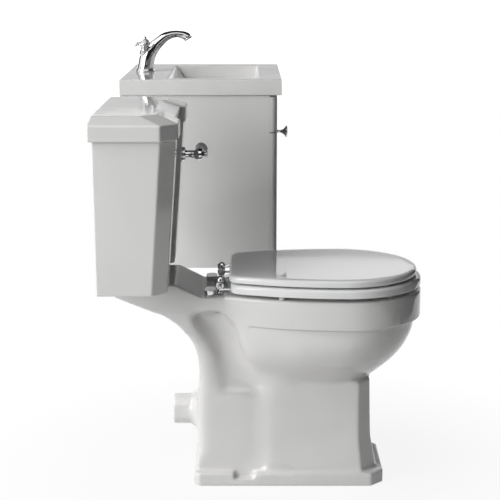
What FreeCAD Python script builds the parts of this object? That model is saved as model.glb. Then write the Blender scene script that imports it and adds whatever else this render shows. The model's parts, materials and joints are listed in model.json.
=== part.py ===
import FreeCAD, Part
import math
import os
import Sketcher
from FreeCAD import Placement, Rotation, Vector

# A close-coupled toilet and a wall-hung vanity that back on the same wall.
# Millimetres. +X points out of the wall, +Y from the toilet to the vanity, +Z up.
# The origin is the middle of the pan's foot, on the floor.

doc = FreeCAD.newDocument("vanity_toilet_suite")
sheet = doc.addObject("Spreadsheet::Sheet", "Sizes")
sizes = []
nodes = []


# Sizes: each one is a cell of the sheet, and sums of them are expressions on those cells


def number(thing):
    return thing.value if isinstance(thing, Size) else float(thing)


def words(thing):
    return thing.text if isinstance(thing, Size) else repr(float(thing))


class Size:
    """A number together with the sheet expression that gives it."""

    def __init__(self, value, text):
        self.value = value
        self.text = text

    def __add__(self, other):
        return Size(self.value + number(other), f"({self.text} + {words(other)})")

    def __radd__(self, other):
        return Size(number(other) + self.value, f"({words(other)} + {self.text})")

    def __sub__(self, other):
        return Size(self.value - number(other), f"({self.text} - {words(other)})")

    def __rsub__(self, other):
        return Size(number(other) - self.value, f"({words(other)} - {self.text})")

    def __mul__(self, other):
        return Size(self.value * number(other), f"({self.text} * {words(other)})")

    def __rmul__(self, other):
        return Size(number(other) * self.value, f"({words(other)} * {self.text})")

    def __truediv__(self, other):
        return Size(self.value / number(other), f"({self.text} / {words(other)})")

    def __neg__(self):
        return 0 - self


def size(alias, value, meaning):
    """Write one driving dimension to the sheet."""
    sizes.append(alias)
    row = len(sizes)
    sheet.set(f"A{row}", meaning)
    sheet.set(f"B{row}", str(value))
    sheet.setAlias(f"B{row}", alias)
    return Size(float(value), f"Sizes.{alias}")


def bind(thing, **amounts):
    for name, amount in amounts.items():
        thing.setExpression(name, words(amount))


def place(thing, at, turn=None):
    """Stand a thing at a point that the sheet gives."""
    thing.Placement = Placement(Vector(*map(number, at)), turn or Rotation())
    for axis, amount in zip("xyz", at):
        thing.setExpression(f"Placement.Base.{axis}", words(amount))


# Plain solids and how they are joined

AIM = {
    "X": Rotation(Vector(0, 1, 0), 90),
    "-X": Rotation(Vector(0, 1, 0), -90),
    "Y": Rotation(Vector(1, 0, 0), -90),
    "-Y": Rotation(Vector(1, 0, 0), 90),
    "Z": Rotation(),
    "-Z": Rotation(Vector(1, 0, 0), 180),
}


def block(label, xs, ys, zs):
    thing = doc.addObject("Part::Box", label)
    bind(thing, Length=xs[1] - xs[0], Width=ys[1] - ys[0], Height=zs[1] - zs[0])
    place(thing, (xs[0], ys[0], zs[0]))
    return thing


def rod(label, start, along, length, radius):
    thing = doc.addObject("Part::Cylinder", label)
    bind(thing, Radius=radius, Height=length)
    place(thing, start, AIM[along])
    return thing


def cone(label, start, along, length, radius, end_radius):
    thing = doc.addObject("Part::Cone", label)
    bind(thing, Radius1=radius, Radius2=end_radius, Height=length)
    place(thing, start, AIM[along])
    return thing


def ball(label, centre, radius):
    thing = doc.addObject("Part::Sphere", label)
    bind(thing, Radius=radius)
    place(thing, centre)
    return thing


def fuse(label, *things):
    joined = doc.addObject("Part::MultiFuse", label)
    joined.Shapes = list(things)
    joined.Refine = True
    return joined


def cut(label, base, *tools):
    carved = doc.addObject("Part::Cut", label)
    carved.Base = base
    carved.Tool = tools[0] if len(tools) == 1 else fuse(label + "_tools", *tools)
    carved.Refine = True
    return carved


def meet(label, *things):
    shared = doc.addObject("Part::MultiCommon", label)
    shared.Shapes = list(things)
    shared.Refine = True
    return shared


def tube(label, start, along, length, radius, bore):
    """A ring or pipe. The bore runs past both ends."""
    return cut(label, rod(label + "_outside", start, along, length, radius),
               rod(label + "_bore", start, along, length, bore))


def group(label, things):
    """Alike pieces that share one node as separate solids."""
    joined = doc.addObject("Part::Compound", label)
    joined.Links = list(things)
    return joined


def keep(label, thing):
    """Name a finished sub-part."""
    thing.Label = label
    nodes.append(thing)
    return thing


# Sketched solids


def sketch_on(body, label, plane, offset=0):
    sketch = body.newObject("Sketcher::SketchObject", label)
    origin = next(f for f in body.Origin.OriginFeatures if f.Role == plane + "_Plane")
    sketch.AttachmentSupport = [(origin, "")]
    sketch.MapMode = "FlatFace"
    sketch.AttachmentOffset = Placement(Vector(0, 0, number(offset)), Rotation())
    sketch.setExpression("AttachmentOffset.Base.z", words(offset))
    return sketch


def hold(sketch, geometry, end, point):
    """Tie a sketch point to its two coordinates."""
    for kind, amount in zip(("DistanceX", "DistanceY"), point):
        n = sketch.addConstraint(Sketcher.Constraint(kind, -1, 1, geometry, end, number(amount)))
        sketch.setExpression(f"Constraints[{n}]", words(amount))


def hold_radius(sketch, geometry, radius):
    n = sketch.addConstraint(Sketcher.Constraint("Radius", geometry, number(radius)))
    sketch.setExpression(f"Constraints[{n}]", words(radius))


def flat(point):
    return Vector(number(point[0]), number(point[1]), 0)


def run(sketch, points):
    """Straight lines from point to point."""
    for n, (here, there) in enumerate(zip(points, points[1:])):
        sketch.addGeometry(Part.LineSegment(flat(here), flat(there)))
        hold(sketch, n, 1, here)
        if n:
            sketch.addConstraint(Sketcher.Constraint("Coincident", n - 1, 2, n, 1))


def polygon(sketch, points):
    run(sketch, points + points[:1])
    sketch.addConstraint(Sketcher.Constraint("Coincident", len(points) - 1, 2, 0, 1))


def polyline(sketch, points):
    run(sketch, points)
    hold(sketch, len(points) - 2, 2, points[-1])


def circle(sketch, centre, radius):
    sketch.addGeometry(Part.Circle(flat(centre), Vector(0, 0, 1), number(radius)))
    hold(sketch, 0, 3, centre)
    hold_radius(sketch, 0, radius)


def seat_shape(sketch, shape):
    """A rounded front, sides that bow in towards the back, and a straight back edge."""
    tip, radius, back, side = shape
    middle = tip - radius
    reach = number(middle - back)
    swing = math.asin(reach / number(side))
    width = number(radius - side) + math.sqrt(number(side) ** 2 - reach**2)
    quarter = math.pi / 2
    up = Vector(0, 0, 1)
    front_circle = Part.Circle(flat((middle, 0)), up, number(radius))
    left_circle = Part.Circle(flat((middle, radius - side)), up, number(side))
    right_circle = Part.Circle(flat((middle, side - radius)), up, number(side))
    front = sketch.addGeometry(Part.ArcOfCircle(front_circle, -quarter, quarter))
    left = sketch.addGeometry(Part.ArcOfCircle(left_circle, quarter, quarter + swing))
    rear = sketch.addGeometry(Part.LineSegment(flat((back, width)), flat((back, -width))))
    right = sketch.addGeometry(Part.ArcOfCircle(right_circle, 3 * quarter - swing, 3 * quarter))
    loop = [front, left, rear, right]
    for here, there in zip(loop, loop[1:] + loop[:1]):
        sketch.addConstraint(Sketcher.Constraint("Coincident", here, 2, there, 1))
    hold(sketch, front, 3, (middle, 0))
    for arc in (left, right):
        sketch.addConstraint(Sketcher.Constraint("Vertical", front, 3, arc, 3))
        hold_radius(sketch, arc, side)
    hold_radius(sketch, front, radius)
    for end in (1, 2):
        sketch.addConstraint(Sketcher.Constraint("Vertical", front, 3, front, end))
    n = sketch.addConstraint(Sketcher.Constraint("DistanceX", -1, 1, rear, 1, number(back)))
    sketch.setExpression(f"Constraints[{n}]", words(back))
    sketch.addConstraint(Sketcher.Constraint("Vertical", rear))


def pad(body, sketch, length, both_ways=False):
    feature = body.newObject("PartDesign::Pad", sketch.Label + "_pad")
    feature.Profile = sketch
    feature.Midplane = both_ways
    bind(feature, Length=length)
    return feature


def prism(label, draw, outline, low, high):
    """A level outline carried straight up."""
    body = doc.addObject("PartDesign::Body", label)
    sketch = sketch_on(body, label + "_outline", "XY", low)
    draw(sketch, outline)
    pad(body, sketch, high - low)
    return body


def slab(label, points, half_width):
    """A side outline carried both ways across."""
    body = doc.addObject("PartDesign::Body", label)
    sketch = sketch_on(body, label + "_outline", "XZ")
    polygon(sketch, points)
    pad(body, sketch, half_width * 2, both_ways=True)
    return body


def loft(label, draw, sections, ruled):
    """Level outlines at several heights, skinned."""
    body = doc.addObject("PartDesign::Body", label)
    sketches = []
    for n, (height, outline) in enumerate(sections):
        sketch = sketch_on(body, f"{label}_outline_{n}", "XY", height)
        draw(sketch, outline)
        sketches.append(sketch)
    skin = body.newObject("PartDesign::AdditiveLoft", label + "_skin")
    skin.Profile = sketches[0]
    skin.Sections = sketches[1:]
    skin.Ruled = ruled
    return body


def turned(label, points, at, turn=None):
    """A profile of (radius, height) points spun about its own axis."""
    body = doc.addObject("PartDesign::Body", label)
    sketch = sketch_on(body, label + "_profile", "XZ")
    polygon(sketch, points)
    spin = body.newObject("PartDesign::Revolution", label + "_spin")
    spin.Profile = sketch
    spin.ReferenceAxis = (sketch, ["V_Axis"])
    spin.Angle = 360
    place(body, at, turn)
    return body


def channel(label, points, radius, plane):
    """A round passage along straight runs in the middle plane, square to the named plane at its start."""
    body = doc.addObject("PartDesign::Body", label)
    route = sketch_on(body, label + "_route", "XZ")
    polyline(route, points)
    start_x, start_z = points[0]
    if plane == "YZ":
        section = sketch_on(body, label + "_section", "YZ", start_x)
        circle(section, (0, start_z), radius)
    else:
        section = sketch_on(body, label + "_section", "XY", start_z)
        circle(section, (start_x, 0), radius)
    passage = body.newObject("PartDesign::AdditivePipe", label + "_passage")
    passage.Profile = section
    passage.Spine = (route, [f"Edge{n + 1}" for n in range(len(points) - 1)])
    passage.Transition = "Right corner"
    return body


def round_edges(label, base, radius, chosen):
    """Round the edges of a finished solid that the test picks."""
    doc.recompute()
    rounded = doc.addObject("Part::Fillet", label)
    rounded.Base = base
    picked = [n for n, edge in enumerate(base.Shape.Edges, 1) if chosen(edge)]
    rounded.Edges = [(n, number(radius), number(radius)) for n in picked]
    return rounded


# Shared places and clearances

wall_x = size("wall_x", -394, "finished wall that everything backs on")
fit = size("fit", 0.05, "radial clearance of a running fit")
play = size("play", 0.3, "clearance between moving neighbours")
slack = size("slack", 0.5, "radial clearance of a bolt or tail in its hole")
overlap = size("overlap", 2, "how far fused solids reach into each other")
through = size("through", 4, "how far a cutting solid runs past a face")
SIDES = {"near": -1, "far": 1}


# Toilet pan: plinth, pedestal, rear block and spigot

plinth_back = size("plinth_back", -200.5, "back of the plinth")
plinth_front = size("plinth_front", 201, "front of the plinth")
plinth_half = size("plinth_half", 105.7, "half width of the plinth")
plinth_height = size("plinth_height", 28.6, "height of the plinth")
plinth_front_cut = size("plinth_front_cut", 27, "corner cut at the plinth's front")
plinth_back_cut = size("plinth_back_cut", 11, "corner cut at the plinth's back")

plinth = prism("pan_plinth", polygon, [
    (plinth_back, plinth_back_cut - plinth_half),
    (plinth_back + plinth_back_cut, -plinth_half),
    (plinth_front - plinth_front_cut, -plinth_half),
    (plinth_front, plinth_front_cut - plinth_half),
    (plinth_front, plinth_half - plinth_front_cut),
    (plinth_front - plinth_front_cut, plinth_half),
    (plinth_back + plinth_back_cut, plinth_half),
    (plinth_back, plinth_half - plinth_back_cut),
], 0 * plinth_height, plinth_height)

pedestal_back = size("pedestal_back", -50, "back of the front pedestal")
pedestal_front_foot = size("pedestal_front_foot", 187, "pedestal front at the plinth")
pedestal_front_top = size("pedestal_front_top", 171, "pedestal front under the bowl")
pedestal_front_mid = size("pedestal_front_mid", 174.5, "pedestal front where its flare starts")
pedestal_half_foot = size("pedestal_half_foot", 95, "pedestal half width at the plinth")
pedestal_half_top = size("pedestal_half_top", 84.5, "pedestal half width under the bowl")
pedestal_half_mid = size("pedestal_half_mid", 87.5, "pedestal half width where its flare starts")
pedestal_cut_foot = size("pedestal_cut_foot", 33, "corner cut at the pedestal's foot")
pedestal_cut_top = size("pedestal_cut_top", 25, "corner cut at the pedestal's top")
pedestal_cut_mid = size("pedestal_cut_mid", 28, "corner cut where the pedestal's flare starts")
pedestal_mid = size("pedestal_mid", 98, "height where the pedestal's flare starts")
pedestal_top = size("pedestal_top", 224, "pedestal top, inside the bowl")


def front_block(back, front, half, corner):
    return [(back, -half), (front - corner, -half), (front, corner - half),
            (front, half - corner), (front - corner, half), (back, half)]


pedestal = loft("pan_pedestal", polygon, [
    (plinth_height - overlap,
     front_block(pedestal_back, pedestal_front_foot, pedestal_half_foot, pedestal_cut_foot)),
    (pedestal_mid,
     front_block(pedestal_back, pedestal_front_mid, pedestal_half_mid, pedestal_cut_mid)),
    (pedestal_top,
     front_block(pedestal_back, pedestal_front_top, pedestal_half_top, pedestal_cut_top)),
], ruled=True)

rear_back = size("rear_back", -193, "back of the low rear block")
rear_half_foot = size("rear_half_foot", 86, "half width of the rear block at the plinth")
rear_half_top = size("rear_half_top", 76, "half width of the rear block at its top")
rear_top = size("rear_top", 206, "top of the rear block")


def square(back, front, half):
    return [(back, -half), (front, -half), (front, half), (back, half)]


rear_block = loft("pan_rear_block", polygon, [
    (plinth_height - overlap, square(rear_back, pedestal_back + overlap, rear_half_foot)),
    (rear_top, square(rear_back, pedestal_back + overlap, rear_half_top)),
], ruled=True)

spigot_z = size("spigot_z", 138, "height of the outlet's axis")
spigot_end = size("spigot_end", -247, "open end of the outlet")
spigot_radius = size("spigot_radius", 33, "outside of the outlet")
spigot_bore = size("spigot_bore", 27, "bore of the outlet")
spigot_flare = size("spigot_flare", 15, "how far the outlet swells where it leaves the block")

spigot = fuse(
    "pan_spigot",
    rod("pan_spigot_pipe", (rear_back + spigot_radius, 0, spigot_z), "-X",
        rear_back + spigot_radius - spigot_end, spigot_radius),
    cone("pan_spigot_root", (rear_back + overlap, 0, spigot_z), "-X", spigot_flare + overlap,
         spigot_radius + spigot_flare, spigot_radius))


# Toilet pan: rim, bowl, cistern shelf and the ribbed web that carries it

rim_top = size("rim_top", 413, "top of the rim")
rim_bottom = size("rim_bottom", 355, "bottom of the rim's upright band")
rim_tip = size("rim_tip", 280, "front of the rim")
rim_radius = size("rim_radius", 158, "radius of the rim's front")
rim_side = size("rim_side", 560, "radius of the rim's sides")
rim_back = size("rim_back", -130, "back of the rim's band")
rim_step = size("rim_step", 13, "how far the bowl steps in under the rim's front")
rim_tuck = size("rim_tuck", 8, "how far the bowl steps in under the rim's sides")
rim_slope = size("rim_slope", 14, "height of that step")

rim = prism("pan_rim", seat_shape, (rim_tip, rim_radius, rim_back, rim_side), rim_bottom, rim_top)

bowl_back = size("bowl_back", -110, "back of the bowl under the rim")
bowl_foot = size("bowl_foot", 203, "bottom of the bowl's outside, inside the pedestal")
bowl_foot_tip = size("bowl_foot_tip", 148, "front of the bowl at its bottom")
bowl_foot_radius = size("bowl_foot_radius", 72, "radius of the bowl's front at its bottom")
bowl_foot_back = size("bowl_foot_back", -46, "back of the bowl at its bottom")
bowl_hip = size("bowl_hip", 267, "height of the bowl's hip")
bowl_hip_tip = size("bowl_hip_tip", 227, "front of the bowl at its hip")
bowl_hip_radius = size("bowl_hip_radius", 127, "radius of the bowl's front at its hip")
bowl_hip_back = size("bowl_hip_back", -86, "back of the bowl at its hip")
bowl_waist = size("bowl_waist", 236, "height of the bowl's waist")
bowl_waist_tip = size("bowl_waist_tip", 192, "front of the bowl at its waist")
bowl_waist_radius = size("bowl_waist_radius", 98, "radius of the bowl's front at its waist")
bowl_waist_back = size("bowl_waist_back", -66, "back of the bowl at its waist")

under_rim = (rim_tip - rim_step, rim_radius - rim_tuck, bowl_back, rim_side)
rim_under = loft("pan_rim_under", seat_shape, [
    (rim_bottom, (rim_tip, rim_radius, bowl_back, rim_side)),
    (rim_bottom - rim_slope, under_rim),
], ruled=True)
bowl = loft("pan_bowl", seat_shape, [
    (rim_bottom - rim_slope, under_rim),
    (bowl_hip, (bowl_hip_tip, bowl_hip_radius, bowl_hip_back, rim_side)),
    (bowl_waist, (bowl_waist_tip, bowl_waist_radius, bowl_waist_back, rim_side)),
    (bowl_foot, (bowl_foot_tip, bowl_foot_radius, bowl_foot_back, rim_side)),
], ruled=False)

shelf_top = size("shelf_top", 435.7, "top of the shelf that the cistern stands on")
shelf_half = size("shelf_half", 96, "half width of the shelf and the hinge deck")
shelf_back = size("shelf_back", -362, "back end of the shelf")
shelf_end = size("shelf_end", 27, "thickness of the shelf at its back end")
shelf_front = size("shelf_front", -234, "where the shelf starts to fall to the deck")
deck_back = size("deck_back", -182, "back of the level deck that the hinges stand on")
deck_top = size("deck_top", 409, "top of the hinge deck")
deck_bottom = size("deck_bottom", 373, "underside of the hinge deck")
deck_front = size("deck_front", -80, "front of the deck, inside the rim")
rib_root = size("rib_root", -274, "where the rib leaves the shelf's underside")

shelf = slab("pan_shelf", [
    (shelf_back, shelf_top), (shelf_front, shelf_top), (deck_back, deck_top), (deck_front, deck_top),
    (deck_front, deck_bottom), (rib_root, deck_bottom), (shelf_back, shelf_top - shelf_end),
], shelf_half)

rib_foot_half = size("rib_foot_half", 74, "half width of the rib down the pan's back, at its foot")
rib_back = size("rib_back", -190, "back of the rib where it is upright")
rib_knee_drop = size("rib_knee_drop", 38, "how far below the deck the rib's back would bend")
rib_knee = deck_bottom - rib_knee_drop
rib_bend = size("rib_bend", 135, "radius of that bend")
rib_inner_root = size("rib_inner_root", -205, "front of the rib under the deck")
rib_front = size("rib_front", -143, "front of the rib where it is upright")
rib_inner_drop = size("rib_inner_drop", 93, "how far below the deck the rib's front would bend")
rib_inner_knee = deck_bottom - rib_inner_drop
rib_inner_bend = size("rib_inner_bend", 180, "radius of that bend")
web_half = size("web_half", 62, "half width of the web between rib and bowl")
web_back = size("web_back", -168, "back of the web, inside the rib")


def rectangle(back, front, half):
    return [(back, -half), (front, -half), (front, half), (back, half)]


def knee_at(x, z):
    return lambda edge: edge.CenterOfMass.distanceToPoint(Vector(x.value, 0, z.value)) < 1


rib = slab("pan_rib", [
    (rib_root, deck_bottom + overlap), (rib_back, rib_knee), (rib_back, rear_top - overlap),
    (rib_front, rear_top - overlap), (rib_front, rib_inner_knee),
    (rib_inner_root, deck_bottom + overlap),
], shelf_half)
rib_bent = round_edges("pan_rib_bent", rib, rib_bend, knee_at(rib_back, rib_knee))
rib_curved = round_edges("pan_rib_curved", rib_bent, rib_inner_bend, knee_at(rib_front, rib_inner_knee))
rib_tapered = meet("pan_rib_tapered", rib_curved, loft("pan_rib_taper", polygon, [
    (rear_top - overlap, rectangle(rib_root - through, rib_front + through, rib_foot_half)),
    (deck_bottom + overlap, rectangle(rib_root - through, rib_front + through, shelf_half)),
], ruled=True))
web = slab("pan_web", [
    (rib_inner_root, deck_bottom + overlap), (web_back, rib_inner_knee),
    (web_back, rear_top - overlap), (pedestal_back + overlap, rear_top - overlap),
    (pedestal_back + overlap, deck_bottom + overlap),
], web_half)


# Toilet pan: the hollow bowl, the trap, the flush passage and the holes

mouth_tip = size("mouth_tip", 236, "front of the bowl's mouth")
mouth_radius = size("mouth_radius", 112, "radius of the mouth's front")
mouth_back = size("mouth_back", -78, "back of the bowl's mouth")
mouth_side = size("mouth_side", 500, "radius of the mouth's sides")
rim_box = size("rim_box", 48, "depth of the overhanging rim")
bowl_wall = size("bowl_wall", 19, "wall of the bowl")
sump_z = size("sump_z", 125, "bottom of the sump")
sump_tip = size("sump_tip", 80, "front of the sump")
sump_radius = size("sump_radius", 36, "radius of the sump's front")
sump_back = size("sump_back", 0, "back of the sump")
throat_z = size("throat_z", 196, "height of the bowl's throat")
throat_tip = size("throat_tip", 124, "front of the throat")
throat_radius = size("throat_radius", 51, "radius of the throat's front")
throat_back = size("throat_back", -24, "back of the throat")

mouth = prism("pan_mouth", seat_shape, (mouth_tip, mouth_radius, mouth_back, mouth_side),
              rim_top - rim_box - overlap, rim_top + through)
hollow = loft("pan_hollow", seat_shape, [
    (rim_top - rim_box,
     (rim_tip - bowl_wall - overlap, rim_radius - bowl_wall - overlap, bowl_back + bowl_wall, rim_side)),
    (bowl_hip,
     (bowl_hip_tip - bowl_wall, bowl_hip_radius - bowl_wall, bowl_hip_back + bowl_wall, rim_side)),
    (throat_z, (throat_tip, throat_radius, throat_back, mouth_side)),
    (sump_z, (sump_tip, sump_radius, sump_back, mouth_side)),
], ruled=False)

trap_radius = size("trap_radius", 23, "radius of the trapway")
trap_start = size("trap_start", 40, "where the trapway leaves the sump")
trap_low = size("trap_low", 150, "height of the trapway at the sump")
trap_turn = size("trap_turn", -20, "where the trapway starts to climb")
weir_x = size("weir_x", -95, "top bend of the trapway")
weir_z = size("weir_z", 214, "height of the top bend")
trap_out = size("trap_out", -150, "where the trapway levels into the outlet")
trapway = channel("pan_trapway", [
    (trap_start, trap_low), (trap_turn, trap_low), (weir_x, weir_z), (trap_out, spigot_z),
    (rear_back, spigot_z),
], trap_radius, "YZ")
outlet_bore = rod("pan_outlet_bore", (trap_out - trap_radius, 0, spigot_z), "-X",
                  trap_out - trap_radius - spigot_end + through, spigot_bore)

flush_x = size("flush_x", -312, "axis of the flush valve and the coupling bolts")
flush_low = size("flush_low", 410, "bottom of the flush passage's first drop")
flush_turn = size("flush_turn", -200, "where the flush passage levels")
flush_z = size("flush_z", 387, "height of the flush passage behind the rim")
flush_radius = size("flush_radius", 16, "radius of the flush passage")
flush_well = size("flush_well", 24, "radius of the well under the flush valve")
flushway = channel("pan_flushway", [
    (flush_x, shelf_top + through), (flush_x, flush_low), (flush_turn, flush_z),
    (mouth_back + flush_radius, flush_z),
], flush_radius, "XY")
flush_well_cut = rod("pan_flush_well", (flush_x, 0, flush_low), "Z",
                     shelf_top - flush_low + through, flush_well)
gasket_radius = size("gasket_radius", 40, "outside of the coupling gasket")
gasket_height = size("gasket_height", 12, "height of the coupling gasket")
gasket_seat = rod("pan_gasket_seat", (flush_x, 0, shelf_top - gasket_height), "Z",
                  gasket_height + through, gasket_radius + slack)

coupling_y = size("coupling_y", 70, "coupling bolts from the middle")
coupling_radius = size("coupling_radius", 5, "radius of a coupling bolt")
coupling_pocket = size("coupling_pocket", 15, "radius of the pocket for a coupling nut")
coupling_ceiling = size("coupling_ceiling", 411, "ceiling of that pocket")
hinge_x = size("hinge_x", -144, "seat hinge axis from the foot's middle")
hinge_y = size("hinge_y", 64.7, "seat hinge posts from the middle")
hinge_z = size("hinge_z", 431, "height of the seat hinge axis")
stud_radius = size("stud_radius", 4, "radius of a hinge stud")
hinge_pocket = size("hinge_pocket", 12, "radius of the pocket for a hinge nut")
hinge_ceiling = size("hinge_ceiling", 386, "ceiling of that pocket")
screw_x = size("screw_x", -94, "floor screw holes along the plinth")
screw_y = size("screw_y", 96, "floor screw holes from the middle")
screw_radius = size("screw_radius", 3.5, "radius of a floor screw hole")
notch_length = size("notch_length", 42, "length of the notch over a floor screw")
notch_floor = size("notch_floor", 15, "height of the notch's floor")
notch_depth = size("notch_depth", 18, "how far the notch cuts in from the plinth's side")
front_pocket_back = size("front_pocket_back", 52, "back of the hollow under the front of the foot")
front_pocket_top = size("front_pocket_top", 106, "top of that hollow")
back_pocket_front = size("back_pocket_front", -62, "front of the hollow under the back of the foot")
back_pocket_top = size("back_pocket_top", 94, "top of that hollow")
foot_wall = size("foot_wall", 24, "wall of the foot around its hollows")

pan_holes = [
    block("pan_front_pocket", (front_pocket_back, pedestal_front_top - foot_wall),
          (foot_wall - pedestal_half_top, pedestal_half_top - foot_wall), (-through, front_pocket_top)),
    block("pan_back_pocket", (rear_back + foot_wall, back_pocket_front),
          (foot_wall - rear_half_top, rear_half_top - foot_wall), (-through, back_pocket_top)),
]
for side, sign in SIDES.items():
    notch_in = sign * (plinth_half - notch_depth)
    notch_out = sign * (plinth_half + through)
    pan_holes += [
        rod(f"pan_coupling_hole_{side}", (flush_x, sign * coupling_y, deck_bottom - through), "Z",
            shelf_top - deck_bottom + 2 * through, coupling_radius + slack),
        rod(f"pan_coupling_pocket_{side}", (flush_x, sign * coupling_y, deck_bottom - through), "Z",
            coupling_ceiling - deck_bottom + through, coupling_pocket),
        rod(f"pan_hinge_hole_{side}", (hinge_x, sign * hinge_y, deck_bottom - through), "Z",
            deck_top - deck_bottom + 2 * through, stud_radius + slack),
        rod(f"pan_hinge_pocket_{side}", (hinge_x, sign * hinge_y, deck_bottom - through), "Z",
            hinge_ceiling - deck_bottom + through, hinge_pocket),
        rod(f"pan_screw_hole_{side}", (screw_x, sign * screw_y, -through), "Z",
            notch_floor + 2 * through, screw_radius),
        block(f"pan_notch_{side}", (screw_x - notch_length / 2, screw_x + notch_length / 2),
              sorted((notch_in, notch_out), key=number), (notch_floor, plinth_height + through)),
    ]

pan_solid = fuse("pan_solid", plinth, pedestal, rear_block, spigot, rim, rim_under, bowl, shelf,
                 rib_tapered, web)
keep("toilet_pan", cut("toilet_pan_cut", pan_solid, mouth, hollow, trapway, outlet_bore, flushway,
                       flush_well_cut, gasket_seat, *pan_holes))


# Cistern tank and lid: the front is set back between two ears

tank_back = size("tank_back", -387, "back of the tank")
tank_front_top = size("tank_front_top", -226, "front of the tank at its top")
tank_front_foot = size("tank_front_foot", -247.7, "front of the tank at its foot")
tank_half_top = size("tank_half_top", 219, "half width of the tank at its top")
tank_half_foot = size("tank_half_foot", 196, "half width of the tank at its foot")
tank_corner = size("tank_corner", 29, "corner cut at the tank's front")
tank_height = size("tank_height", 312, "height of the tank")
tank_wall = size("tank_wall", 11, "wall of the tank")
tank_floor = size("tank_floor", 14, "floor of the tank")
ear_start = size("ear_start", 106, "half width of the part set back between the ears")
ear_depth = size("ear_depth", 10, "how far the middle is set back")
inside_corner = size("inside_corner", 22, "corner cut inside the tank")
tank_top = shelf_top + tank_height
floor_top = shelf_top + tank_floor


def eared(back, front, half, corner):
    half_outline = [(back, half), (front - corner, half), (front, half - corner),
                    (front, ear_start + ear_depth), (front - ear_depth, ear_start)]
    return half_outline + [(x, -y) for x, y in reversed(half_outline)]


def inside(front, half, inset):
    reach = front - ear_depth - tank_wall - inset
    span = half - tank_wall - inset
    back = tank_back + tank_wall + inset
    return [(back, -span), (reach - inside_corner, -span), (reach, inside_corner - span),
            (reach, span - inside_corner), (reach - inside_corner, span), (back, span)]


lever_y = size("lever_y", 150, "flush lever from the middle, on the far ear")
lever_z = size("lever_z", 671, "height of the flush lever")
lever_flange = size("lever_flange", 16.5, "radius of the lever's flange")
bush_radius = size("bush_radius", 10, "outside of the lever's bush")
bush_nut_radius = size("bush_nut_radius", 17, "radius of the lever's nut")
inlet_x = size("inlet_x", -318, "fill valve from the foot's middle")
inlet_y = size("inlet_y", 140, "fill valve from the middle")
inlet_radius = size("inlet_radius", 10.4, "radius of the half-inch inlet thread")
fill_column = size("fill_column", 11, "radius of the fill valve's column")
tail_radius = size("tail_radius", 20, "radius of the flush valve's tail")
wall_hole_y = size("wall_hole_y", 95, "cistern wall screws from the middle")
wall_hole_z = size("wall_hole_z", 700, "height of the cistern wall screws")
wall_hole_radius = size("wall_hole_radius", 4, "radius of a wall screw hole")
tank_lean = (tank_front_top - tank_front_foot) / tank_height
lever_seat_x = tank_front_top - (tank_top - lever_z + lever_flange) * tank_lean
inside_lean = (tank_front_top - tank_front_foot) / (tank_height - tank_floor + through)
lever_inner_x = (tank_front_foot - ear_depth - tank_wall
                 + (lever_z + bush_nut_radius - floor_top) * inside_lean)

tank_shell = cut(
    "tank_shell",
    loft("tank_outside", polygon, [
        (shelf_top, eared(tank_back, tank_front_foot, tank_half_foot, tank_corner)),
        (tank_top, eared(tank_back, tank_front_top, tank_half_top, tank_corner)),
    ], ruled=True),
    loft("tank_inside", polygon, [
        (floor_top, inside(tank_front_foot, tank_half_foot, 0)),
        (tank_top + through, inside(tank_front_top, tank_half_top, 0)),
    ], ruled=True))
tank_holes = [
    rod("tank_flush_hole", (flush_x, 0, shelf_top - through), "Z", tank_floor + 2 * through,
        tail_radius + slack),
    rod("tank_inlet_hole", (inlet_x, inlet_y, shelf_top - through), "Z", tank_floor + 2 * through,
        fill_column + slack),
    rod("tank_lever_hole", (lever_inner_x - through, lever_y, lever_z), "X",
        lever_seat_x - lever_inner_x + 2 * through, bush_radius + play),
    rod("tank_lever_nut_seat", (lever_inner_x, lever_y, lever_z), "-X", lever_flange,
        bush_nut_radius + slack),
    rod("tank_lever_seat", (lever_seat_x, lever_y, lever_z), "X", lever_flange, lever_flange + slack),
]
for side, sign in SIDES.items():
    tank_holes += [
        rod(f"tank_coupling_hole_{side}", (flush_x, sign * coupling_y, shelf_top - through), "Z",
            tank_floor + 2 * through, coupling_radius + slack),
        rod(f"tank_wall_hole_{side}", (tank_back - through, sign * wall_hole_y, wall_hole_z), "X",
            tank_wall + 2 * through, wall_hole_radius),
    ]
keep("cistern_tank", cut("cistern_tank_cut", tank_shell, *tank_holes))

lid_front = size("lid_front", -220.5, "front of the cistern lid")
lid_half = size("lid_half", 230, "half width of the cistern lid")
lid_corner = size("lid_corner", 33.5, "corner cut of the cistern lid")
lid_edge = size("lid_edge", 32, "height of the cistern lid's upright edge")
lid_crown = size("lid_crown", 14.3, "rise of the cistern lid's sloping top")
lid_slope = size("lid_slope", 42, "width of that slope")
lid_back_slope = size("lid_back_slope", 3, "width of the slope at the wall")
lip_depth = size("lip_depth", 8, "how far the lid's lip hangs into the tank")
lip_gap = size("lip_gap", 2, "room between the lip and the tank")
lip_wall = size("lip_wall", 8, "thickness of the lip")
lid_hollow = size("lid_hollow", 22, "height of the hollow under the lid")

lid_outline = eared(wall_x, lid_front, lid_half, lid_corner)
crown_outline = eared(wall_x + lid_back_slope, lid_front - lid_slope, lid_half - lid_slope, lid_corner)
lid_solid = fuse(
    "lid_solid",
    prism("lid_band", polygon, lid_outline, tank_top, tank_top + lid_edge),
    loft("lid_crown_slope", polygon, [(tank_top + lid_edge, lid_outline),
                                      (tank_top + lid_edge + lid_crown, crown_outline)], ruled=True),
    prism("lid_lip", polygon, inside(tank_front_top, tank_half_top, lip_gap), tank_top - lip_depth,
          tank_top + overlap))
keep("cistern_lid", cut("cistern_lid_cut", lid_solid, prism(
    "lid_hollow_cut", polygon, inside(tank_front_top, tank_half_top, lip_gap + lip_wall),
    tank_top - lip_depth - through, tank_top + lid_hollow)))


# Flush lever: bush with flange, nut, outer lever, its ball, and the trip arm inside

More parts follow.
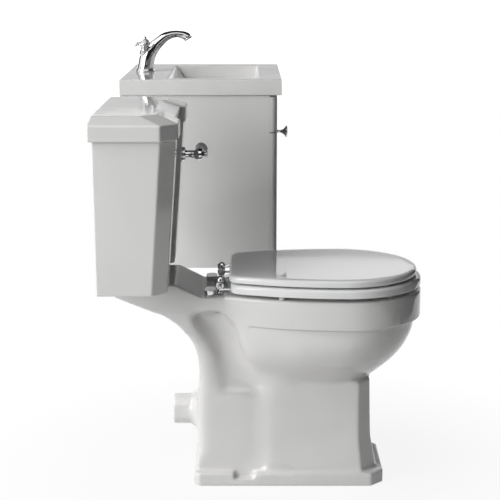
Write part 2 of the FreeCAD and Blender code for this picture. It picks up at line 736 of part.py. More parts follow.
flange_thick = size("flange_thick", 4, "thickness of the lever's flange")
bush_nut_thick = size("bush_nut_thick", 8, "thickness of the lever's nut")
bush_tail = size("bush_tail", 14, "how far the bush stands into the tank")
spindle_radius = size("spindle_radius", 6, "radius of the lever's spindle")
shank_radius = size("shank_radius", 9.2, "radius of the lever's shank outside")
hub_radius = size("hub_radius", 14, "radius of the lever's round hub")
hub_reach = size("hub_reach", 40, "hub from the tank's face")
hub_tip = size("hub_tip", 16, "end button from the hub's middle")
hub_tip_radius = size("hub_tip_radius", 5.5, "radius of the end button")
arm_length = size("arm_length", 80, "lever's arm from its axis")
arm_root = size("arm_root", 5, "radius of the arm at the hub")
arm_end = size("arm_end", 3.6, "radius of the arm at the ball")
knob_radius = size("knob_radius", 14.5, "radius of the lever's ball")
knob_socket = size("knob_socket", 4, "how far the arm goes into the ball")

bush_end = lever_inner_x - bush_tail
flange_face = lever_seat_x + flange_thick
hub_x = lever_seat_x + hub_reach
bush = fuse(
    "bush_solid",
    rod("bush_flange", (lever_seat_x, lever_y, lever_z), "X", flange_thick, lever_flange),
    rod("bush_sleeve", (bush_end, lever_y, lever_z), "X", lever_seat_x - bush_end + overlap, bush_radius))
keep("lever_flange", cut("lever_flange_cut", bush, rod(
    "bush_bore", (bush_end - through, lever_y, lever_z), "X", flange_face - bush_end + 2 * through,
    spindle_radius + fit)))
keep("lever_nut", tube("lever_nut_ring", (lever_inner_x, lever_y, lever_z), "-X", bush_nut_thick,
                       bush_nut_radius, bush_radius + fit))

trip_thick = size("trip_thick", 6, "thickness of the trip arm")
trip_height = size("trip_height", 12, "height of the trip arm")
trip_pin = size("trip_pin", 3, "radius of the trip arm's crank pin")
trip_x = bush_end - play
keep("flush_lever", fuse(
    "flush_lever_solid",
    rod("lever_spindle", (trip_x - trip_thick, lever_y, lever_z), "X",
        flange_face + play + overlap - trip_x + trip_thick, spindle_radius),
    rod("lever_shank", (flange_face + play, lever_y, lever_z), "X", hub_x - flange_face - play,
        shank_radius),
    ball("lever_hub", (hub_x, lever_y, lever_z), hub_radius),
    rod("lever_button", (hub_x, lever_y, lever_z), "X", hub_tip, hub_tip_radius),
    cone("lever_arm", (hub_x, lever_y, lever_z), "Y", arm_length, arm_root, arm_end)))
knob_y = lever_y + arm_length + knob_radius - knob_socket
keep("lever_ball", cut(
    "lever_ball_cut", ball("lever_ball_solid", (hub_x, knob_y, lever_z), knob_radius),
    rod("lever_ball_socket", (hub_x, lever_y + arm_length, lever_z), "-Y", knob_radius, arm_root),
    rod("lever_ball_hole", (hub_x, lever_y, lever_z), "Y", arm_length, arm_root)))

head_thick = size("head_thick", 5, "thickness of the lift rod's slotted head")
trip_end = flush_x - head_thick - through
trip_bar = fuse(
    "trip_bar",
    rod("trip_eye", (trip_x, lever_y, lever_z), "-X", trip_thick, trip_height),
    block("trip_strip", (trip_x - trip_thick, trip_x), (-trip_height / 2, lever_y),
          (lever_z - trip_height / 2, lever_z + trip_height / 2)),
    rod("trip_crank", (trip_x - trip_thick + overlap, 0, lever_z), "-X",
        trip_x - trip_thick + overlap - trip_end, trip_pin))
keep("trip_arm", cut("trip_arm_cut", trip_bar, rod(
    "trip_eye_bore", (trip_x + through, lever_y, lever_z), "-X", trip_thick + 2 * through, spindle_radius)))


# Flush valve: body with tail and cage, plunger, seal, lift rod, back nut, gasket

valve_flange = size("valve_flange", 34, "radius of the flush valve's flange")
valve_flange_thick = size("valve_flange_thick", 6, "thickness of that flange")
valve_bore = size("valve_bore", 16, "bore of the flush valve")
valve_cage = size("valve_cage", 30, "outside of the flush valve's cage")
valve_cage_wall = size("valve_cage_wall", 3, "wall of the cage")
valve_cage_height = size("valve_cage_height", 76, "height of the cage")
valve_window = size("valve_window", 30, "width of the cage's windows")
valve_window_height = size("valve_window_height", 36, "height of the cage's windows")
tail_length = size("tail_length", 22, "how far the tail hangs under the tank")
valve_seat = floor_top + valve_flange_thick
cage_inner = valve_cage - valve_cage_wall
valve_solid = fuse(
    "valve_solid",
    rod("valve_tail", (flush_x, 0, shelf_top - tail_length), "Z", tail_length + tank_floor + overlap,
        tail_radius),
    rod("valve_plate", (flush_x, 0, floor_top), "Z", valve_flange_thick, valve_flange),
    tube("valve_cage", (flush_x, 0, floor_top + overlap), "Z", valve_cage_height, valve_cage, cage_inner))
window_low = valve_seat + valve_flange_thick
keep("flush_valve_body", cut(
    "flush_valve_cut", valve_solid,
    rod("valve_bore_cut", (flush_x, 0, shelf_top - tail_length - through), "Z",
        valve_seat - shelf_top + tail_length + 2 * through, valve_bore),
    block("valve_window_x", (flush_x - valve_flange, flush_x + valve_flange),
          (-valve_window / 2, valve_window / 2), (window_low, window_low + valve_window_height)),
    block("valve_window_y", (flush_x - valve_window / 2, flush_x + valve_window / 2),
          (-valve_flange, valve_flange), (window_low, window_low + valve_window_height))))

seal_radius = size("seal_radius", 23, "radius of the plunger's seal")
seal_thick = size("seal_thick", 4, "thickness of the plunger's seal")
plunger_radius = size("plunger_radius", 25, "radius of the plunger")
plunger_thick = size("plunger_thick", 7, "thickness of the plunger")
plunger_stem = size("plunger_stem", 8, "radius of the plunger's stem")
plunger_stem_length = size("plunger_stem_length", 30, "length of the plunger's stem")
lift_radius = size("lift_radius", 3.5, "radius of the lift rod")
lift_socket = size("lift_socket", 20, "how far the lift rod goes into the stem")
plunger_low = valve_seat + seal_thick
stem_top = plunger_low + plunger_thick + plunger_stem_length
keep("plunger_seal", rod("plunger_seal_disc", (flush_x, 0, valve_seat), "Z", seal_thick, seal_radius))
keep("flush_plunger", cut(
    "flush_plunger_cut",
    fuse("plunger_solid",
         rod("plunger_disc", (flush_x, 0, plunger_low), "Z", plunger_thick, plunger_radius),
         rod("plunger_stem_rod", (flush_x, 0, plunger_low), "Z", plunger_thick + plunger_stem_length,
             plunger_stem)),
    rod("plunger_socket", (flush_x, 0, stem_top - lift_socket), "Z", lift_socket + through, lift_radius)))

head_margin = size("head_margin", 7, "metal around the lift rod's slot")
slot_play = size("slot_play", 1.3, "room above and below the crank pin in the slot")
slot_run = size("slot_run", 9, "room for the crank pin's swing along the slot")
slot_y = (-trip_pin - slot_play, trip_pin + slot_run)
slot_z = (lever_z - trip_pin - slot_play, lever_z + trip_pin + slot_play)
head_y = (slot_y[0] - head_margin, slot_y[1] + head_margin)
head_z = (slot_z[0] - head_margin, slot_z[1] + head_margin)
head_x = (flush_x - head_thick / 2, flush_x + head_thick / 2)
keep("lift_rod", cut(
    "lift_rod_cut",
    fuse("lift_rod_solid", block("lift_head", head_x, head_y, head_z),
         rod("lift_shaft", (flush_x, 0, stem_top - lift_socket), "Z",
             head_z[0] + overlap - stem_top + lift_socket, lift_radius)),
    block("lift_slot", (head_x[0] - through, head_x[1] + through), slot_y, slot_z)))

back_nut_radius = size("back_nut_radius", 29, "radius of the flush back nut")
back_nut_thick = size("back_nut_thick", 8, "thickness of the flush back nut")
gasket_bore = size("gasket_bore", 30, "bore of the coupling gasket")
keep("flush_back_nut", tube("flush_back_nut_ring", (flush_x, 0, shelf_top), "-Z", back_nut_thick,
                            back_nut_radius, tail_radius + fit))
keep("coupling_gasket", tube("coupling_gasket_ring", (flush_x, 0, shelf_top), "-Z", gasket_height,
                             gasket_radius, gasket_bore))


# Coupling bolts that draw the cistern down on the pan, and the fill valve

washer_radius = size("washer_radius", 14, "radius of a coupling washer")
washer_thick = size("washer_thick", 3, "thickness of a coupling washer")
bolt_head = size("bolt_head", 11, "radius of a coupling bolt's head")
bolt_head_thick = size("bolt_head_thick", 5, "thickness of a coupling bolt's head")
bolt_nut = size("bolt_nut", 9.5, "radius of a coupling nut")
bolt_nut_thick = size("bolt_nut_thick", 8, "thickness of a coupling nut")
bolt_end = size("bolt_end", 6, "bolt past its nut")
bolts, washers, bolt_nuts = [], [], []
for side, sign in SIDES.items():
    bolt_y = sign * coupling_y
    head_low = floor_top + washer_thick
    bolt_low = coupling_ceiling - bolt_nut_thick - bolt_end
    bolts.append(fuse(
        f"coupling_bolt_{side}",
        rod(f"coupling_bolt_head_{side}", (flush_x, bolt_y, head_low), "Z", bolt_head_thick, bolt_head),
        rod(f"coupling_bolt_shank_{side}", (flush_x, bolt_y, bolt_low), "Z", head_low - bolt_low + overlap,
            coupling_radius)))
    washers.append(tube(f"coupling_washer_{side}", (flush_x, bolt_y, floor_top), "Z", washer_thick,
                        washer_radius, coupling_radius + fit))
    bolt_nuts.append(tube(f"coupling_nut_{side}", (flush_x, bolt_y, coupling_ceiling), "-Z", bolt_nut_thick,
                          bolt_nut, coupling_radius + fit))
keep("coupling_bolts", group("coupling_bolts_group", bolts))
keep("coupling_washers", group("coupling_washers_group", washers))
keep("coupling_nuts", group("coupling_nuts_group", bolt_nuts))

fill_flange = size("fill_flange", 18, "radius of the fill valve's flange")
fill_flange_thick = size("fill_flange_thick", 5, "thickness of that flange")
fill_height = size("fill_height", 190, "height of the column")
fill_cap = size("fill_cap", 17, "radius of the fill valve's head")
fill_cap_height = size("fill_cap_height", 26, "height of the fill valve's head")
fill_tail = size("fill_tail", 36, "inlet thread under the tank")
fill_nut = size("fill_nut", 17, "radius of the fill valve's nut")
fill_nut_thick = size("fill_nut_thick", 9, "thickness of the fill valve's nut")
float_radius = size("float_radius", 30, "radius of the float")
float_height = size("float_height", 66, "height of the float")
fill_top = floor_top + fill_height
inlet = (inlet_x, inlet_y)
keep("fill_valve", fuse(
    "fill_valve_solid",
    rod("fill_tail_rod", (*inlet, shelf_top - fill_tail), "Z", fill_tail, inlet_radius),
    rod("fill_flange_disc", (*inlet, floor_top), "Z", fill_flange_thick, fill_flange),
    rod("fill_column_rod", (*inlet, shelf_top - fill_nut_thick), "Z",
        fill_nut_thick + tank_floor + fill_height + overlap, fill_column),
    rod("fill_head", (*inlet, fill_top), "Z", fill_cap_height, fill_cap)))
keep("fill_valve_nut", tube("fill_valve_nut_ring", (*inlet, shelf_top), "-Z", fill_nut_thick, fill_nut,
                            fill_column + fit))
keep("float_cup", tube("float_cup_ring", (*inlet, floor_top + fill_flange_thick), "Z", float_height,
                       float_radius, fill_column + play))


# Seat ring and seat lid, their hinges and buffers

seat_low = size("seat_low", 421.5, "underside of the seat ring")
seat_thick = size("seat_thick", 18.5, "thickness of the seat ring")
seat_tip = size("seat_tip", 279.6, "front of the seat ring")
seat_radius = size("seat_radius", 162.5, "radius of the ring's front")
seat_back = size("seat_back", -122, "back of the seat ring")
seat_side = size("seat_side", 625, "radius of the ring's sides")
seat_round = size("seat_round", 7, "rounding of the ring's edges")
hole_tip = size("hole_tip", 220, "front of the ring's opening")
hole_radius = size("hole_radius", 102, "radius of the opening's front")
hole_back = size("hole_back", -66, "back of the ring's opening")
hole_side = size("hole_side", 480, "radius of the opening's sides")
cover_low = size("cover_low", 444, "underside of the seat lid")
cover_thick = size("cover_thick", 15.7, "thickness of the seat lid")
cover_tip = size("cover_tip", 270, "front of the seat lid")
cover_radius = size("cover_radius", 160, "radius of the lid's front")
cover_back = size("cover_back", -125, "back of the seat lid")
cover_side = size("cover_side", 600, "radius of the lid's sides")
cover_round = size("cover_round", 6, "rounding of the lid's upper edge")

eye_radius = size("eye_radius", 8, "radius of a hinge eye")
eye_width = size("eye_width", 8.6, "width of a strap's eye")
eye_gap = size("eye_gap", 0.4, "gap between neighbouring eyes")
post_half = size("post_half", 9.6, "half width left for a post between its two eyes")
pin_radius = size("pin_radius", 4, "radius of a hinge pin")
pin_knob = size("pin_knob", 5, "radius of the ball on a pin's end")
strap_thick = size("strap_thick", 3, "thickness of a hinge strap")
strap_front = size("strap_front", -86, "front end of a hinge strap")
strap_back = size("strap_back", 6, "strap behind the hinge axis")
strap_leg = size("strap_leg", 8, "upright part of a strap in front of the axis")
strap_screw = size("strap_screw", 2, "radius of a strap screw")
strap_screw_head = size("strap_screw_head", 3.6, "radius of a strap screw's head")
strap_screw_head_thick = size("strap_screw_head_thick", 1.2, "thickness of a strap screw's head")
strap_screw_length = size("strap_screw_length", 10, "length of a strap screw under its head")
strap_screw_inset = size("strap_screw_inset", 9, "front strap screw from the strap's end")
strap_screw_pitch = size("strap_screw_pitch", 14, "between a strap's two screws")

seat_top = seat_low + seat_thick
cover_top = cover_low + cover_thick
outer_eye = post_half + eye_gap
screw_places = [strap_front - strap_screw_inset, strap_front - strap_screw_inset - strap_screw_pitch]


def between(low, length, sign):
    """Two ends of a stretch, in rising order whichever way it runs."""
    return sorted((low, low + sign * length), key=number)


def strap(label, eye_start, sign, low, leg):
    """A hinge eye with a leg to a flat strap, which lies in its panel."""
    across = between(eye_start, eye_width, sign)
    solid = fuse(
        label + "_solid",
        rod(label + "_eye", (hinge_x, across[0], hinge_z), "Y", eye_width, eye_radius),
        block(label + "_leg", (hinge_x - strap_back, hinge_x + strap_leg), across, leg),
        block(label + "_flat", (hinge_x - strap_back, strap_front), across, (low, low + strap_thick)))
    holes = [rod(label + "_bore", (hinge_x, across[0] - through, hinge_z), "Y", eye_width + 2 * through,
                 pin_radius + fit)]
    for n, x in enumerate(screw_places):
        holes.append(rod(f"{label}_screw_hole_{n}", (x, across[0] + eye_width / 2, low - through), "Z",
                         strap_thick + 2 * through, strap_screw + fit))
    return cut(label + "_cut", solid, *holes)


def strap_bed(label, eye_start, sign, low):
    """What a panel loses to a strap and its screws."""
    across = between(eye_start, eye_width, sign)
    bed = block(label + "_bed", (hinge_x - strap_back, strap_front + fit),
                (across[0] - fit, across[1] + fit), (low - through, low + strap_thick))
    holes = [rod(f"{label}_bed_hole_{n}", (x, across[0] + eye_width / 2, low), "Z", strap_screw_length,
                 strap_screw + fit) for n, x in enumerate(screw_places)]
    return [bed] + holes


def strap_screws(label, eye_start, sign, low):
    across = between(eye_start, eye_width, sign)
    screws = []
    for n, x in enumerate(screw_places):
        foot = (x, across[0] + eye_width / 2, low)
        head = rod(f"{label}_head_{n}", foot, "-Z", strap_screw_head_thick, strap_screw_head)
        shank = rod(f"{label}_shank_{n}", foot, "Z", strap_screw_length, strap_screw)
        screws.append(fuse(f"{label}_{n}", head, shank))
    return screws


seat_straps, seat_beds, seat_screws = [], [], []
cover_straps, cover_beds, cover_screws = [], [], []
for side, sign in SIDES.items():
    outside_eye = sign * (hinge_y + outer_eye)
    inside_eye = sign * (hinge_y - outer_eye)
    seat_straps.append(strap(f"seat_strap_{side}", outside_eye, sign, seat_low, (seat_low, hinge_z)))
    seat_beds += strap_bed(f"seat_strap_{side}", outside_eye, sign, seat_low)
    seat_screws += strap_screws(f"seat_screw_{side}", outside_eye, sign, seat_low)
    cover_straps.append(strap(f"cover_strap_{side}", inside_eye, -sign, cover_low,
                              (hinge_z, cover_low + strap_thick)))
    cover_beds += strap_bed(f"cover_strap_{side}", inside_eye, -sign, cover_low)
    cover_screws += strap_screws(f"cover_screw_{side}", inside_eye, -sign, cover_low)

ring_blank = cut(
    "seat_ring_blank",
    prism("seat_ring_outside", seat_shape, (seat_tip, seat_radius, seat_back, seat_side),
          seat_low, seat_top),
    prism("seat_ring_hole", seat_shape, (hole_tip, hole_radius, hole_back, hole_side),
          seat_low - through, seat_top + through))


SAME = 0.05


def at_height(height):
    level = number(height)
    return lambda edge: abs(edge.BoundBox.ZMin - level) < SAME and abs(edge.BoundBox.ZMax - level) < SAME


def upright(edge):
    return edge.BoundBox.XLength < SAME and edge.BoundBox.YLength < SAME


corner_round = size("corner_round", 18, "rounding of the back corners of the seat ring and lid")
ring_corners = round_edges("seat_ring_corners", ring_blank, corner_round,
                           lambda edge: upright(edge) and edge.BoundBox.XMin < seat_back.value + 1)
ring_round = round_edges("seat_ring_round", ring_corners, seat_round, at_height(seat_top))
keep("seat_ring", cut("seat_ring_cut", ring_round, *seat_beds))
cover_blank = prism("seat_lid_blank", seat_shape, (cover_tip, cover_radius, cover_back, cover_side),
                    cover_low, cover_top)
cover_corners = round_edges("seat_lid_corners", cover_blank, corner_round,
                            lambda edge: upright(edge) and edge.BoundBox.XMin < cover_back.value + 1)
cover_rounded = round_edges("seat_lid_round", cover_corners, cover_round, at_height(cover_top))
keep("seat_lid", cut("seat_lid_cut", cover_rounded, *cover_beds))
keep("seat_straps", group("seat_straps_group", seat_straps))
keep("seat_strap_screws", group("seat_strap_screws_group", seat_screws))
keep("lid_straps", group("lid_straps_group", cover_straps))
keep("lid_strap_screws", group("lid_strap_screws_group", cover_screws))

buffer_radius = size("buffer_radius", 6, "radius of a seat buffer")
buffer_front_x = size("buffer_front_x", 205, "front seat buffers")
buffer_front_y = size("buffer_front_y", 108, "front seat buffers from the middle")
buffer_back_x = size("buffer_back_x", -17, "back seat buffers")
buffer_back_y = size("buffer_back_y", 132, "back seat buffers from the middle")
lid_buffer_x = size("lid_buffer_x", 192, "lid buffers")
lid_buffer_y = size("lid_buffer_y", 118, "lid buffers from the middle")
buffers, lid_buffers = [], []
for side, sign in SIDES.items():
    for end, x, y in (("front", buffer_front_x, buffer_front_y), ("back", buffer_back_x, buffer_back_y)):
        buffers.append(rod(f"seat_buffer_{end}_{side}", (x, sign * y, rim_top), "Z",
                           seat_low - rim_top, buffer_radius))
    lid_buffers.append(rod(f"lid_buffer_{side}", (lid_buffer_x, sign * lid_buffer_y, seat_top), "Z",
                           cover_low - seat_top, buffer_radius))
keep("seat_buffers", group("seat_buffers_group", buffers))
keep("lid_buffers", group("lid_buffers_group", lid_buffers))

base_back = size("base_back", -176.5, "back of a hinge base")
base_round = size("base_round", 12, "radius of a hinge base's ends")
base_half = size("base_half", 19, "half width of a hinge base")
base_thick = size("base_thick", 11, "height of a hinge base")
base_tongue = size("base_tongue", 8, "half width of the base's tongue under a post")
base_tongue_thick = size("base_tongue_thick", 3.5, "thickness of that tongue")
post_foot = size("post_foot", 7.6, "radius of a post's foot")
post_neck = size("post_neck", 4.6, "radius of a post's neck")
post_foot_height = size("post_foot_height", 2, "height of a post's foot")
finial_neck = size("finial_neck", 3, "radius under a post's top ball")
finial_radius = size("finial_radius", 9.2, "radius of a post's top ball")
finial_rise = size("finial_rise", 8.5, "top ball over the hinge axis")
stud_end = size("stud_end", 4, "hinge stud past its nut")
hinge_nut = size("hinge_nut", 9, "radius of a hinge nut")
hinge_nut_thick = size("hinge_nut_thick", 8, "thickness of a hinge nut")
base_x = base_back + base_round
post_low = deck_top + base_tongue_thick
stud_low = hinge_ceiling - hinge_nut_thick - stud_end
pin_half = outer_eye + eye_width + eye_gap + pin_knob
bases, posts, pins, hinge_nuts = [], [], [], []
for side, sign in SIDES.items():
    y = sign * hinge_y
    bar = base_half - base_round
    bases.append(cut(
        f"hinge_base_{side}",
        fuse(f"hinge_base_solid_{side}",
             block(f"hinge_base_bar_{side}", (base_back, base_back + 2 * base_round), (y - bar, y + bar),
                   (deck_top, deck_top + base_thick)),
             rod(f"hinge_base_end_a_{side}", (base_x, y - bar, deck_top), "Z", base_thick, base_round),
             rod(f"hinge_base_end_b_{side}", (base_x, y + bar, deck_top), "Z", base_thick, base_round),
             block(f"hinge_base_tongue_{side}", (base_x, hinge_x), (y - base_tongue, y + base_tongue),
                   (deck_top, post_low)),
             rod(f"hinge_base_tip_{side}", (hinge_x, y, deck_top), "Z", base_tongue_thick, base_tongue)),
        rod(f"hinge_base_hole_{side}", (hinge_x, y, deck_top - through), "Z",
            base_tongue_thick + 2 * through, stud_radius + fit)))
    post_solid = fuse(
        f"hinge_post_solid_{side}",
        turned(f"hinge_post_turned_{side}", [
            (0, stud_low), (stud_radius, stud_low), (stud_radius, post_low),
            (post_foot, post_low), (post_foot, post_low + post_foot_height),
            (post_neck, hinge_z - eye_radius),
            (finial_neck, hinge_z + eye_radius), (finial_neck, hinge_z + finial_rise),
            (0, hinge_z + finial_rise)], (hinge_x, y, 0)),
        ball(f"hinge_post_eye_{side}", (hinge_x, y, hinge_z), eye_radius),
        ball(f"hinge_post_finial_{side}", (hinge_x, y, hinge_z + finial_rise), finial_radius))
    posts.append(cut(f"hinge_post_{side}", post_solid, rod(
        f"hinge_post_bore_{side}", (hinge_x, y - eye_radius - through, hinge_z), "Y",
        2 * (eye_radius + through), pin_radius + fit)))
    pins.append(fuse(
        f"hinge_pin_{side}",
        rod(f"hinge_pin_rod_{side}", (hinge_x, y - pin_half, hinge_z), "Y", 2 * pin_half, pin_radius),
        ball(f"hinge_pin_end_a_{side}", (hinge_x, y - pin_half, hinge_z), pin_knob),
        ball(f"hinge_pin_end_b_{side}", (hinge_x, y + pin_half, hinge_z), pin_knob)))
    hinge_nuts.append(tube(f"hinge_nut_{side}", (hinge_x, y, hinge_ceiling), "-Z", hinge_nut_thick,
                           hinge_nut, stud_radius + fit))
keep("hinge_bases", group("hinge_bases_group", bases))
keep("hinge_posts", group("hinge_posts_group", posts))
keep("hinge_pins", group("hinge_pins_group", pins))
keep("hinge_nuts", group("hinge_nuts_group", hinge_nuts))


# Vanity basin with its sloping bowl

van_y = size("van_y", 681.4, "middle of the vanity")
basin_front = size("basin_front", -5.7, "front of the basin")
basin_low = size("basin_low", 771.8, "underside of the basin's slab")
basin_edge = size("basin_edge", 37.8, "height of the basin's edge")
bowl_rear = size("bowl_rear", -282, "back of the basin's bowl at the top")
bowl_fore = size("bowl_fore", -62, "front of the basin's bowl at the top")
bowl_span = size("bowl_span", 207, "half width of the basin's bowl at the top")
bowl_depth = size("bowl_depth", 98, "depth of the basin's bowl")
bowl_rear_run = size("bowl_rear_run", 76, "how far the bowl's back wall runs forward")
bowl_fore_run = size("bowl_fore_run", 10, "how far the bowl's front wall runs back")
bowl_side_run = size("bowl_side_run", 26, "how far the bowl's side walls run in")
basin_wall = size("basin_wall", 12, "wall of the basin's bowl")
board = size("board", 16, "thickness of the cabinet's boards")
bowl_gap = size("bowl_gap", 5.5, "gap between the basin's bowl and the cabinet's sides")
basin_overhang = size("basin_overhang", 4.5, "how far the basin stands over the cabinet's sides")
cabinet_half = bowl_span + basin_wall + bowl_gap + board
basin_half = cabinet_half + basin_overhang
tap_x = size("tap_x", -350, "tap hole from the foot's middle")
tap_hole = size("tap_hole", 17.5, "radius of the tap hole")
waste_hole = size("waste_hole", 22.5, "radius of the basin's waste hole")
waste_seat = size("waste_seat", 33, "radius of the seat round the waste hole")
waste_seat_depth = size("waste_seat_depth", 3, "depth of that seat")
basin_top = basin_low + basin_edge
bowl_floor = basin_top - bowl_depth
waste_x = (bowl_rear + bowl_rear_run + bowl_fore - bowl_fore_run) / 2


def panel(back, front, half):
    return [(back, van_y - half), (front, van_y - half), (front, van_y + half), (back, van_y + half)]


basin_inner_foot = panel(bowl_rear + bowl_rear_run, bowl_fore - bowl_fore_run, bowl_span - bowl_side_run)
basin_outer_foot = panel(bowl_rear + bowl_rear_run - basin_wall, bowl_fore - bowl_fore_run + basin_wall,
                         bowl_span - bowl_side_run + basin_wall)
basin_solid = fuse(
    "basin_solid",
    prism("basin_slab", polygon, panel(wall_x, basin_front, basin_half), basin_low, basin_top),
    loft("basin_bowl_outside", polygon, [
        (basin_low + overlap,
         panel(bowl_rear - basin_wall, bowl_fore + basin_wall, bowl_span + basin_wall)),
        (bowl_floor - basin_wall, basin_outer_foot)], ruled=True))
keep("basin", cut(
    "basin_cut", basin_solid,
    loft("basin_bowl_inside", polygon, [
        (basin_top, panel(bowl_rear, bowl_fore, bowl_span)), (bowl_floor, basin_inner_foot)], ruled=True),
    rod("basin_tap_hole", (tap_x, van_y, basin_low - through), "Z", basin_edge + 2 * through, tap_hole),
    rod("basin_waste_hole", (waste_x, van_y, bowl_floor - basin_wall - through), "Z",
        basin_wall + 2 * through, waste_hole),
    rod("basin_waste_seat", (waste_x, van_y, bowl_floor - waste_seat_depth), "Z",
        waste_seat_depth + through, waste_seat)))


# Basin waste with its plug, and the bottle trap under it

waste_flange = size("waste_flange", 32, "radius of the waste's flange")
waste_tail = size("waste_tail", 20, "radius of the waste's tail")
waste_bore = size("waste_bore", 16, "bore of the waste's tail")
waste_length = size("waste_length", 62, "waste's tail under the bowl's floor")
waste_nut = size("waste_nut", 31, "radius of the waste nut")
waste_nut_thick = size("waste_nut_thick", 10, "thickness of the waste nut")
plug_radius = size("plug_radius", 25, "radius of the plug")
plug_thick = size("plug_thick", 6, "thickness of the plug")
plug_stem = size("plug_stem", 5, "radius of the plug's stem")
plug_stem_length = size("plug_stem_length", 40, "length of the plug's stem")
waste_bridge = size("waste_bridge", 6, "thickness of the bar that guides the plug")
trap_inlet = size("trap_inlet", 15, "radius of the trap's inlet pipe")
trap_cup = size("trap_cup", 30, "radius of the bottle trap")
trap_cup_height = size("trap_cup_height", 78, "height of the bottle trap")
trap_drop = size("trap_drop", 24, "inlet pipe between the waste and the trap")
trap_pipe = size("trap_pipe", 15.5, "radius of the trap's outlet pipe")
trap_spigot = size("trap_spigot", 16, "radius of the outlet pipe's end at the wall")
trap_spigot_length = size("trap_spigot_length", 40, "length of that end")
trap_wall = size("trap_wall", 2, "wall of the trap and its pipe")
trap_pipe_drop = size("trap_pipe_drop", 24, "outlet pipe's axis under the trap's top")
trap_nut = size("trap_nut", 22, "radius of a trap nut")
trap_nut_length = size("trap_nut_length", 16, "length of a trap nut")
waste_low = bowl_floor - waste_length
trap_top = waste_low - trap_drop
trap_bottom = trap_top - trap_cup_height
pipe_z = trap_top - trap_pipe_drop
waste_face = bowl_floor - waste_seat_depth
under_bowl = bowl_floor - basin_wall
guide_top = waste_face - plug_thick - waste_bridge
keep("basin_waste", cut(
    "basin_waste_cut",
    fuse("waste_solid",
         rod("waste_flange_disc", (waste_x, van_y, waste_face), "Z", waste_seat_depth, waste_flange),
         rod("waste_tail_rod", (waste_x, van_y, waste_low), "Z", waste_length - waste_seat_depth + overlap,
             waste_tail)),
    cut("waste_way",
        rod("waste_way_rod", (waste_x, van_y, waste_low - through), "Z", waste_length + 2 * through,
            waste_bore),
        cut("waste_guide",
            block("waste_guide_bar", (waste_x - waste_tail, waste_x + waste_tail),
                  (van_y - plug_stem - waste_bridge / 2, van_y + plug_stem + waste_bridge / 2),
                  (guide_top - waste_bridge, guide_top)),
            rod("waste_guide_hole", (waste_x, van_y, guide_top - waste_bridge - through), "Z",
                waste_bridge + 2 * through, plug_stem + fit)))))
keep("waste_plug", fuse(
    "waste_plug_solid",
    rod("plug_disc", (waste_x, van_y, bowl_floor), "Z", plug_thick, plug_radius),
    rod("plug_stem_rod", (waste_x, van_y, bowl_floor + overlap - plug_stem_length), "Z",
        plug_stem_length, plug_stem)))
keep("waste_nut", tube("waste_nut_ring", (waste_x, van_y, under_bowl), "-Z", waste_nut_thick, waste_nut,
                       waste_tail + fit))
trap_solid = fuse(
    "trap_solid",
    rod("trap_inlet_rod", (waste_x, van_y, trap_top - overlap), "Z", waste_low - trap_top + overlap,
        trap_inlet),
    rod("trap_cup_rod", (waste_x, van_y, trap_bottom), "Z", trap_cup_height, trap_cup))
keep("bottle_trap", cut(
    "bottle_trap_cut", trap_solid,
    rod("trap_chamber", (waste_x, van_y, trap_bottom + trap_wall), "Z", trap_cup_height - 2 * trap_wall,
        trap_cup - trap_wall),
    rod("trap_inlet_bore", (waste_x, van_y, trap_top - trap_wall - overlap), "Z",
        waste_low - trap_top + trap_wall + overlap + through, trap_inlet - trap_wall),
    rod("trap_outlet_hole", (waste_x, van_y, pipe_z), "-X", trap_cup + through, trap_pipe + fit)))
pipe_start = waste_x - trap_cup + trap_wall
keep("trap_outlet_pipe", cut(
    "trap_outlet_cut",
    fuse("trap_outlet_solid",
         rod("trap_outlet_rod", (pipe_start, van_y, pipe_z), "-X", pipe_start - wall_x, trap_pipe),
         rod("trap_outlet_end", (wall_x, van_y, pipe_z), "X", trap_spigot_length, trap_spigot)),
    rod("trap_outlet_bore", (pipe_start + through, van_y, pipe_z), "-X", pipe_start - wall_x + 2 * through,
        trap_pipe - trap_wall)))
keep("trap_nuts", group("trap_nuts_group", [
    tube("trap_inlet_nut", (waste_x, van_y, waste_low + trap_nut_length / 2), "-Z", trap_nut_length,
         trap_nut, waste_tail + fit),
    tube("trap_outlet_nut", (waste_x - trap_cup, van_y, pipe_z), "-X", trap_nut_length, trap_nut,
         trap_pipe + fit)]))


# Mixer tap with two cross handles

tap_flange = size("tap_flange", 25, "radius of the tap's foot")
tap_flange_thick = size("tap_flange_thick", 5, "thickness of the tap's foot")
shoulder_rise = size("shoulder_rise", 41, "handles' shoulder over the basin")
shoulder_radius = size("shoulder_radius", 15, "radius of the handles' shoulder")
shank_length = size("shank_length", 58, "tap's threaded shank under its foot")
tap_shank = size("tap_shank", 16, "radius of the tap's shank")
tap_nut_radius = size("tap_nut_radius", 24, "radius of the tap's nut")
tap_nut_thick = size("tap_nut_thick", 9, "thickness of the tap's nut")
handle_tilt = size("handle_tilt", 40, "how far the handles lean out, in degrees")
handle_root = size("handle_root", 30, "handle stem from the body's shoulder")
stem_radius = size("stem_radius", 8.5, "radius of a handle's stem")
handle_spindle = size("handle_spindle", 4, "radius of a handle's spindle")
handle_spindle_length = size("handle_spindle_length", 11, "length of a handle's spindle")
handle_hub = size("handle_hub", 9.5, "radius of a handle's hub")
handle_hub_length = size("handle_hub_length", 14, "length of a handle's hub")
handle_arm = size("handle_arm", 3, "radius of a handle's arm")
handle_reach = size("handle_reach", 22, "handle's arm from its axis")
handle_ball = size("handle_ball", 4.3, "radius of the ball on an arm")
cap_radius = size("cap_radius", 7, "radius of a handle's cap")
cap_thick = size("cap_thick", 2.5, "thickness of a handle's cap")
nozzle_radius = size("nozzle_radius", 10.6, "radius of the spout's nozzle")
nozzle_length = size("nozzle_length", 4, "length of the spout's nozzle")

